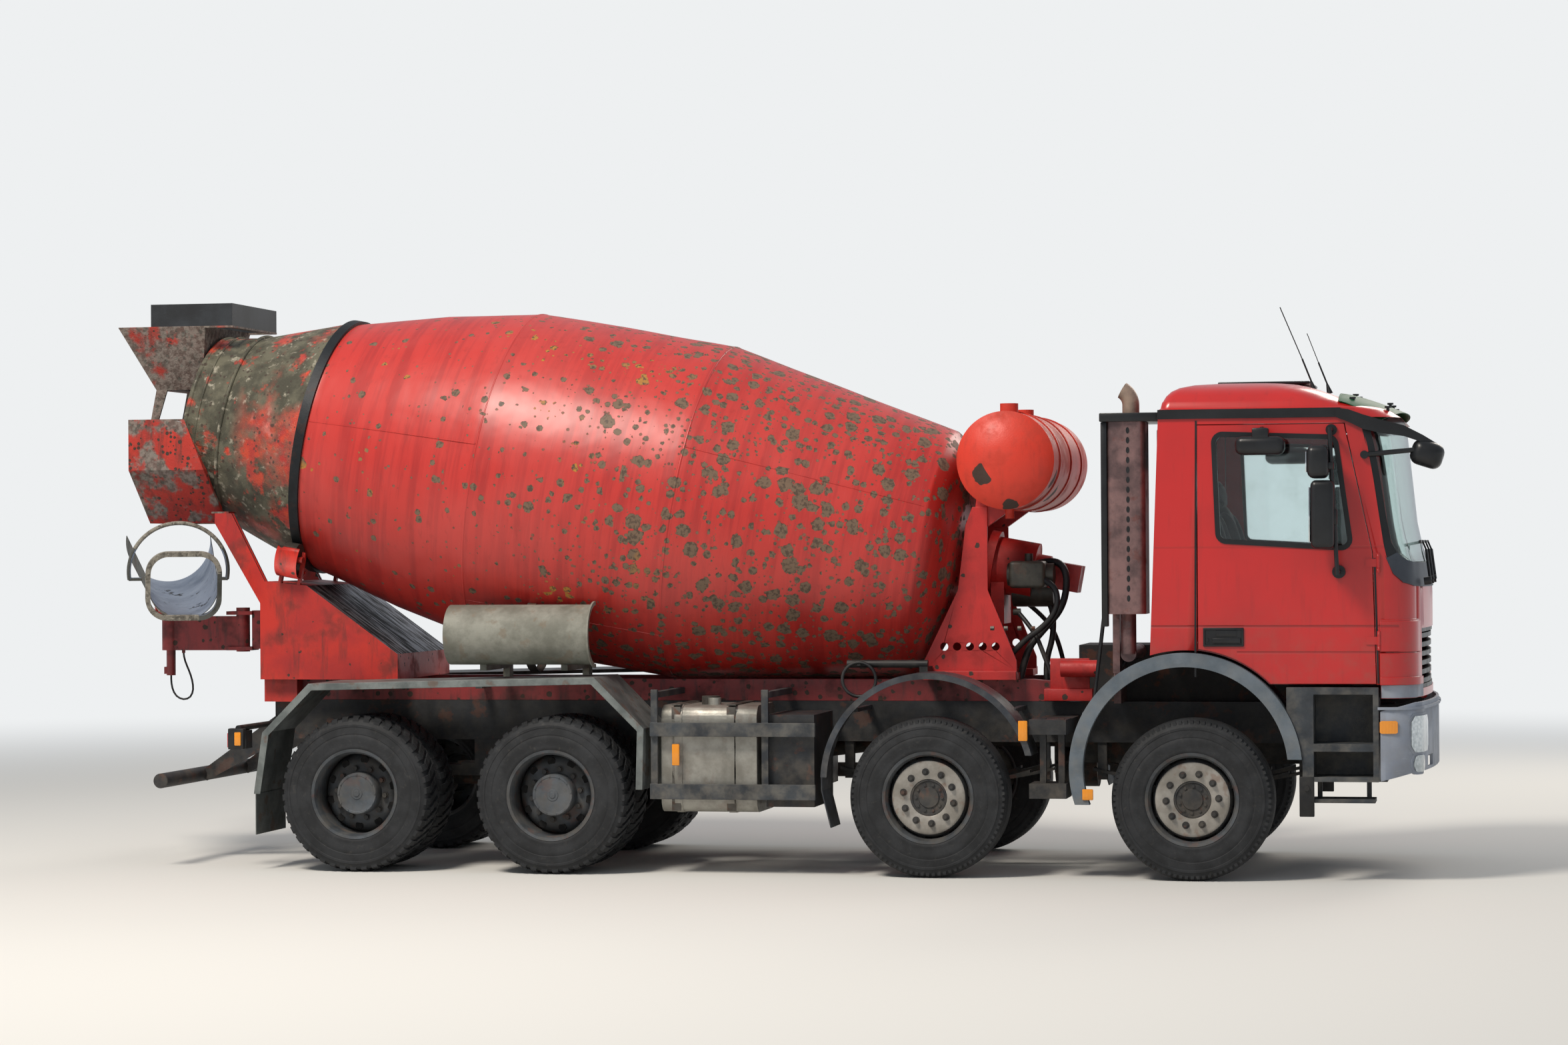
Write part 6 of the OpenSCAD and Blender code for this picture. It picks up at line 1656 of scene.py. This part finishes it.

# %% [markdown]
# Between the pedestal and the cab stand the drive's motor and its hoses. The hoses are thick
# black rubber, looped high and led down to the frame. Each is a smooth tube through a few points
# read off the photograph, with a collar where it starts.

# %% Motor, hoses and pipes
HOSES = [
    (0.024,
     [(-1.18, -0.10, 2.00), (-1.02, -0.16, 2.06), (-0.90, -0.22, 1.98), (-0.92, -0.26, 1.74),
      (-1.06, -0.28, 1.58), (-1.18, -0.30, 1.44), (-1.22, -0.30, 1.22)]),
    (0.020,
     [(-1.10, -0.30, 1.93), (-0.98, -0.36, 1.90), (-0.94, -0.38, 1.76), (-1.02, -0.38, 1.62),
      (-1.20, -0.36, 1.50), (-1.32, -0.34, 1.36)]),
    (0.020,
     [(-1.16, 0.02, 1.90), (-1.04, 0.0, 1.78), (-1.02, -0.02, 1.55), (-1.08, -0.06, 1.35),
      (-1.06, -0.10, 1.20)]),
    (0.016,
     [(-1.24, -0.22, 1.70), (-1.12, -0.30, 1.58), (-1.05, -0.34, 1.42), (-0.98, -0.36, 1.24)]),
    (0.016, [(-1.26, 0.12, 1.78), (-1.10, 0.16, 1.66), (-1.00, 0.18, 1.46), (-0.96, 0.18, 1.22)]),
    (0.013,
     [(-0.66, -0.60, 1.06), (-0.62, -0.62, 1.20), (-0.50, -0.60, 1.34), (-0.44, -0.52, 1.50),
      (-0.44, -0.46, 1.66)]),
]
for k, (radius, route) in enumerate(HOSES):
    hose = add_tube(f"drive_hose_{k + 1}", route, radius, "chassis", hose_rubber)
bm = bmesh.new()
add_block(bm, (-1.28, -0.36, 1.86), (-1.04, -0.12, 2.04), bevel=0.025, segments=3)
add_rod(bm, (-1.30, -0.24, 1.95), (-0.99, -0.24, 1.95), 0.075, 24)
add_rod(bm, (-1.16, -0.24, 2.02), (-1.16, -0.24, 2.09), 0.028, 12)
add_rod(bm, (-1.30, 0.02, 1.84), (-1.02, 0.02, 1.84), 0.11, 28)
for radius, route in HOSES:
    add_rod(bm, Vector(route[0]) - Vector((0.03, 0, 0)), Vector(route[0]) + Vector((0.02, 0, 0)),
            radius * 1.45, 14)
motor = finish_piece(bm, "drive_motor_and_valves", "chassis", motor_iron, smooth=40)
bm = bmesh.new()
add_rod(bm, (-0.90, -0.62, 1.335), (-0.66, -0.62, 1.335), 0.056, 28)
add_block(bm, (-1.02, -0.58, 1.12), (-0.70, -0.44, 1.20), bevel=0.006)
add_block(bm, (-0.98, -0.56, 1.19), (-0.72, -0.545, 1.40), bevel=0.004)
bracket = finish_piece(bm, "pipe_bracket", "chassis", pedestal_enamel, smooth=40)
bm = bmesh.new()
add_rod(bm, (-0.653, -0.90, 1.116), (-0.521, -0.86, 2.225), 0.013, 12)
add_rod(bm, (-0.653, -0.93, 1.116), (-0.653, -0.70, 1.116), 0.018, 12)
prop_rod = finish_piece(bm, "cab_prop_rod", "chassis", black_plastic)
print("hoses", len(HOSES))

# %% [markdown]
# The silencer stands in a pressed steel shield with a column of oval holes, capped by a black
# plate. A hole is drawn as a black oval plug, painted shade in place of the dark inside of the
# hole, that stands a fraction of a millimetre proud, because the shield's CAD solid is closed. Its
# frame is a dark upright bar behind the shield.

# %% Silencer details
SHIELD_X, SHIELD_OUT, SHIELD_Z = (-0.530, -0.234), -1.110, (1.70, 2.936)
HOLE_X, HOLE_R, HOLE_STRETCH, HOLE_COUNT = -0.400, 0.011, 1.9, 18
bm = bmesh.new()
add_block(bm, (SHIELD_X[0] - 0.05, -1.135, SHIELD_Z[1] - 0.004),
          (SHIELD_X[1] + 0.03, -0.50, SHIELD_Z[1] + 0.052), bevel=0.006)
add_block(bm, (SHIELD_X[0] - 0.045, -1.10, 1.62), (SHIELD_X[0] - 0.006, -1.02, 2.93), bevel=0.004)
for k in range(HOLE_COUNT):
    z = SHIELD_Z[0] + 0.10 + (SHIELD_Z[1] - SHIELD_Z[0] - 0.16) * k / (HOLE_COUNT - 1)
    # painted shade: each hole is a black plug in place of the dark inside behind the shield
    hole = add_rod(bm, (HOLE_X, SHIELD_OUT + 0.03, z), (HOLE_X, SHIELD_OUT - 0.002, z), HOLE_R, 16)
    from_hole = Matrix.Translation(-at(HOLE_X, SHIELD_OUT, z))
    bmesh.ops.scale(bm, vec=(1, 1, HOLE_STRETCH), space=from_hole, verts=hole)
shield_trim = finish_piece(bm, "silencer_plate_and_hole_shade", "chassis", black_plastic)
print("silencer holes", HOLE_COUNT)

# %% [markdown]
# Straps, caps and markers: flat steel bands round the water tank, the fuel tank and the parked
# chute, amber reflectors on the guards, and the white bolt heads at the frame's end. A band is a
# short open cylinder spun a few millimetres outside the piece that it holds.

# %% Straps, caps and markers
STRAP_THICK = 0.007


def strap_rows(half, radius):
    """The section of a strap of width 2 * half round a tank, for add_spin."""
    return [(-half, radius), (-half, radius + STRAP_THICK), (half, radius + STRAP_THICK),
            (half, radius)]


bm = bmesh.new()
for y in (-0.60, -0.02, 0.55):
    add_spin(bm, strap_rows(0.02, 0.322), at(-1.22, y, 2.70), (0, 1, 0), 56)
add_rod(bm, (-1.16, -0.35, 2.995), (-1.16, -0.35, 3.045), 0.055, 24)
tank_bands = finish_piece(bm, "water_tank_bands", "chassis", tank_enamel)
bm = bmesh.new()
for x in (-3.37, -3.00):
    add_block(bm, (x - 0.03, -1.150, 0.42), (x + 0.03, -1.142, 1.10), bevel=0.001)
    add_block(bm, (x - 0.03, -1.145, 1.110), (x + 0.03, -0.55, 1.118), bevel=0.001)
add_rod(bm, (-3.18, -0.95, 1.11), (-3.18, -0.95, 1.165), 0.060, 26)
add_spin(bm, strap_rows(0.03, 0.236), at(-4.42, -0.765, 1.56), (1, 0, 0), 40)
bolts = [(-6.455, y, z) for y in (-0.44, -0.38) for z in (0.86, 0.93)]
bolts += [(-1.35 + 0.09 * k, -0.64, 1.60) for k in range(4)]
for x, y, z in bolts:
    add_rod(bm, (x - 0.012, y, z), (x + 0.012, y, z), 0.016, 6)
straps = finish_piece(bm, "tank_straps_and_bolts", "chassis", bolt_steel)
bm = bmesh.new()
# x, z, width, height and distance from the middle
MARKERS = [(-3.36, 0.79, 0.05, 0.14, 1.205), (-1.075, 0.955, 0.06, 0.13, 1.205),
           (-0.66, 0.55, 0.07, 0.07, 1.205), (-6.37, 0.88, 0.045, 0.09, 1.227)]
for side in (-1, 1):
    for x, z, w, h, y in MARKERS:
        add_block(bm, (x - w / 2, side * y - 0.008, z - h / 2),
                  (x + w / 2, side * y + 0.008, z + h / 2), bevel=0.006)
reflectors = finish_piece(bm, "amber_side_markers", "chassis", amber_lens)
bm = bmesh.new()
for side in (-1, 1):
    add_block(bm, (-6.452, side * 1.11 - 0.10, 0.82), (-6.436, side * 1.11 + 0.10, 0.92),
              bevel=0.006)
rear_lamps = finish_piece(bm, "rear_lamps", "chassis", red_lens)
bm = bmesh.new()
for side in (-1, 1):
    add_block(bm, (-6.442, side * 1.195 - 0.03, 0.81), (-6.330, side * 1.195 + 0.03, 0.95),
              bevel=0.008)
    add_block(bm, (0.678, side * 1.172 - 0.012, 0.419), (0.772, side * 1.172 + 0.012, 0.673),
              bevel=0.006)
    add_rod(bm, (0.725, side * 1.18, 0.600), (0.725, side * 1.20, 0.600), 0.018, 16)
boxes = finish_piece(bm, "side_lamp_boxes_and_flaps", "chassis", black_plastic)
print("straps and markers ready")

# %% [markdown]
# Folded and welded steel has no razor edges. The CAD nodes get their edges merged and rounded by
# modifiers, three millimetres wide, which leaves their solids untouched. Troughs are scoured
# inside and caked outside, so their inward faces take a second material.

# %% Rounded edges and scoured insides
WELD_GAP, ROUND_EDGE = 0.0002, 0.003
for name in ("rear_support", "subframe", "pedestal", "bumper", "rear_fenders", "side_guards",
             "charge_hopper", "discharge_funnel", "chute_arm", "step_wells", "front_arches",
             "battery_box", "fuel_tank"):
    weld = nodes[name].modifiers.new("weld", "WELD")
    weld.merge_threshold = WELD_GAP
    edge = nodes[name].modifiers.new("round_edges", "BEVEL")
    edge.width, edge.segments = ROUND_EDGE, 2
    edge.limit_method, edge.angle_limit = "ANGLE", math.radians(40)
    edge.harden_normals = True
CRUST_END, CRUST_HOOP, CRUST_TOP = -1.0, -0.45, 2.16


def coat_faces(name, material, wanted):
    """Gives the faces of a CAD node that pass a test of their centre and normal a new material."""
    data = nodes[name].data
    data.materials.append(material)
    slot = len(data.materials) - 1
    turn = nodes[name].matrix_world
    count = 0
    for face in data.polygons:
        if wanted(turn @ face.center, (turn.to_3x3() @ face.normal).normalized()):
            face.material_index = slot
            count += 1
    print(name, material.name, count, "faces")


coat_faces("muffler", exhaust_steel, lambda spot, normal: spot.z > SHIELD_Z[1] + 0.004)
coat_faces("rear_support", slide_steel, lambda spot, normal: normal.z > 0.3 and abs(normal.x) > 0.3)
trough = nodes["main_chute"]
middle = trough.matrix_world @ (sum((v.co for v in trough.data.vertices),
                                    Vector()) / len(trough.data.vertices))
coat_faces("main_chute", trough_steel, lambda spot, normal: normal.dot(middle - spot) > 0.02)
coat_faces("main_chute", crust,
           lambda spot, normal: spot.y < CRUST_END or (spot.z > CRUST_TOP and spot.y < CRUST_HOOP))
print("edges rounded")
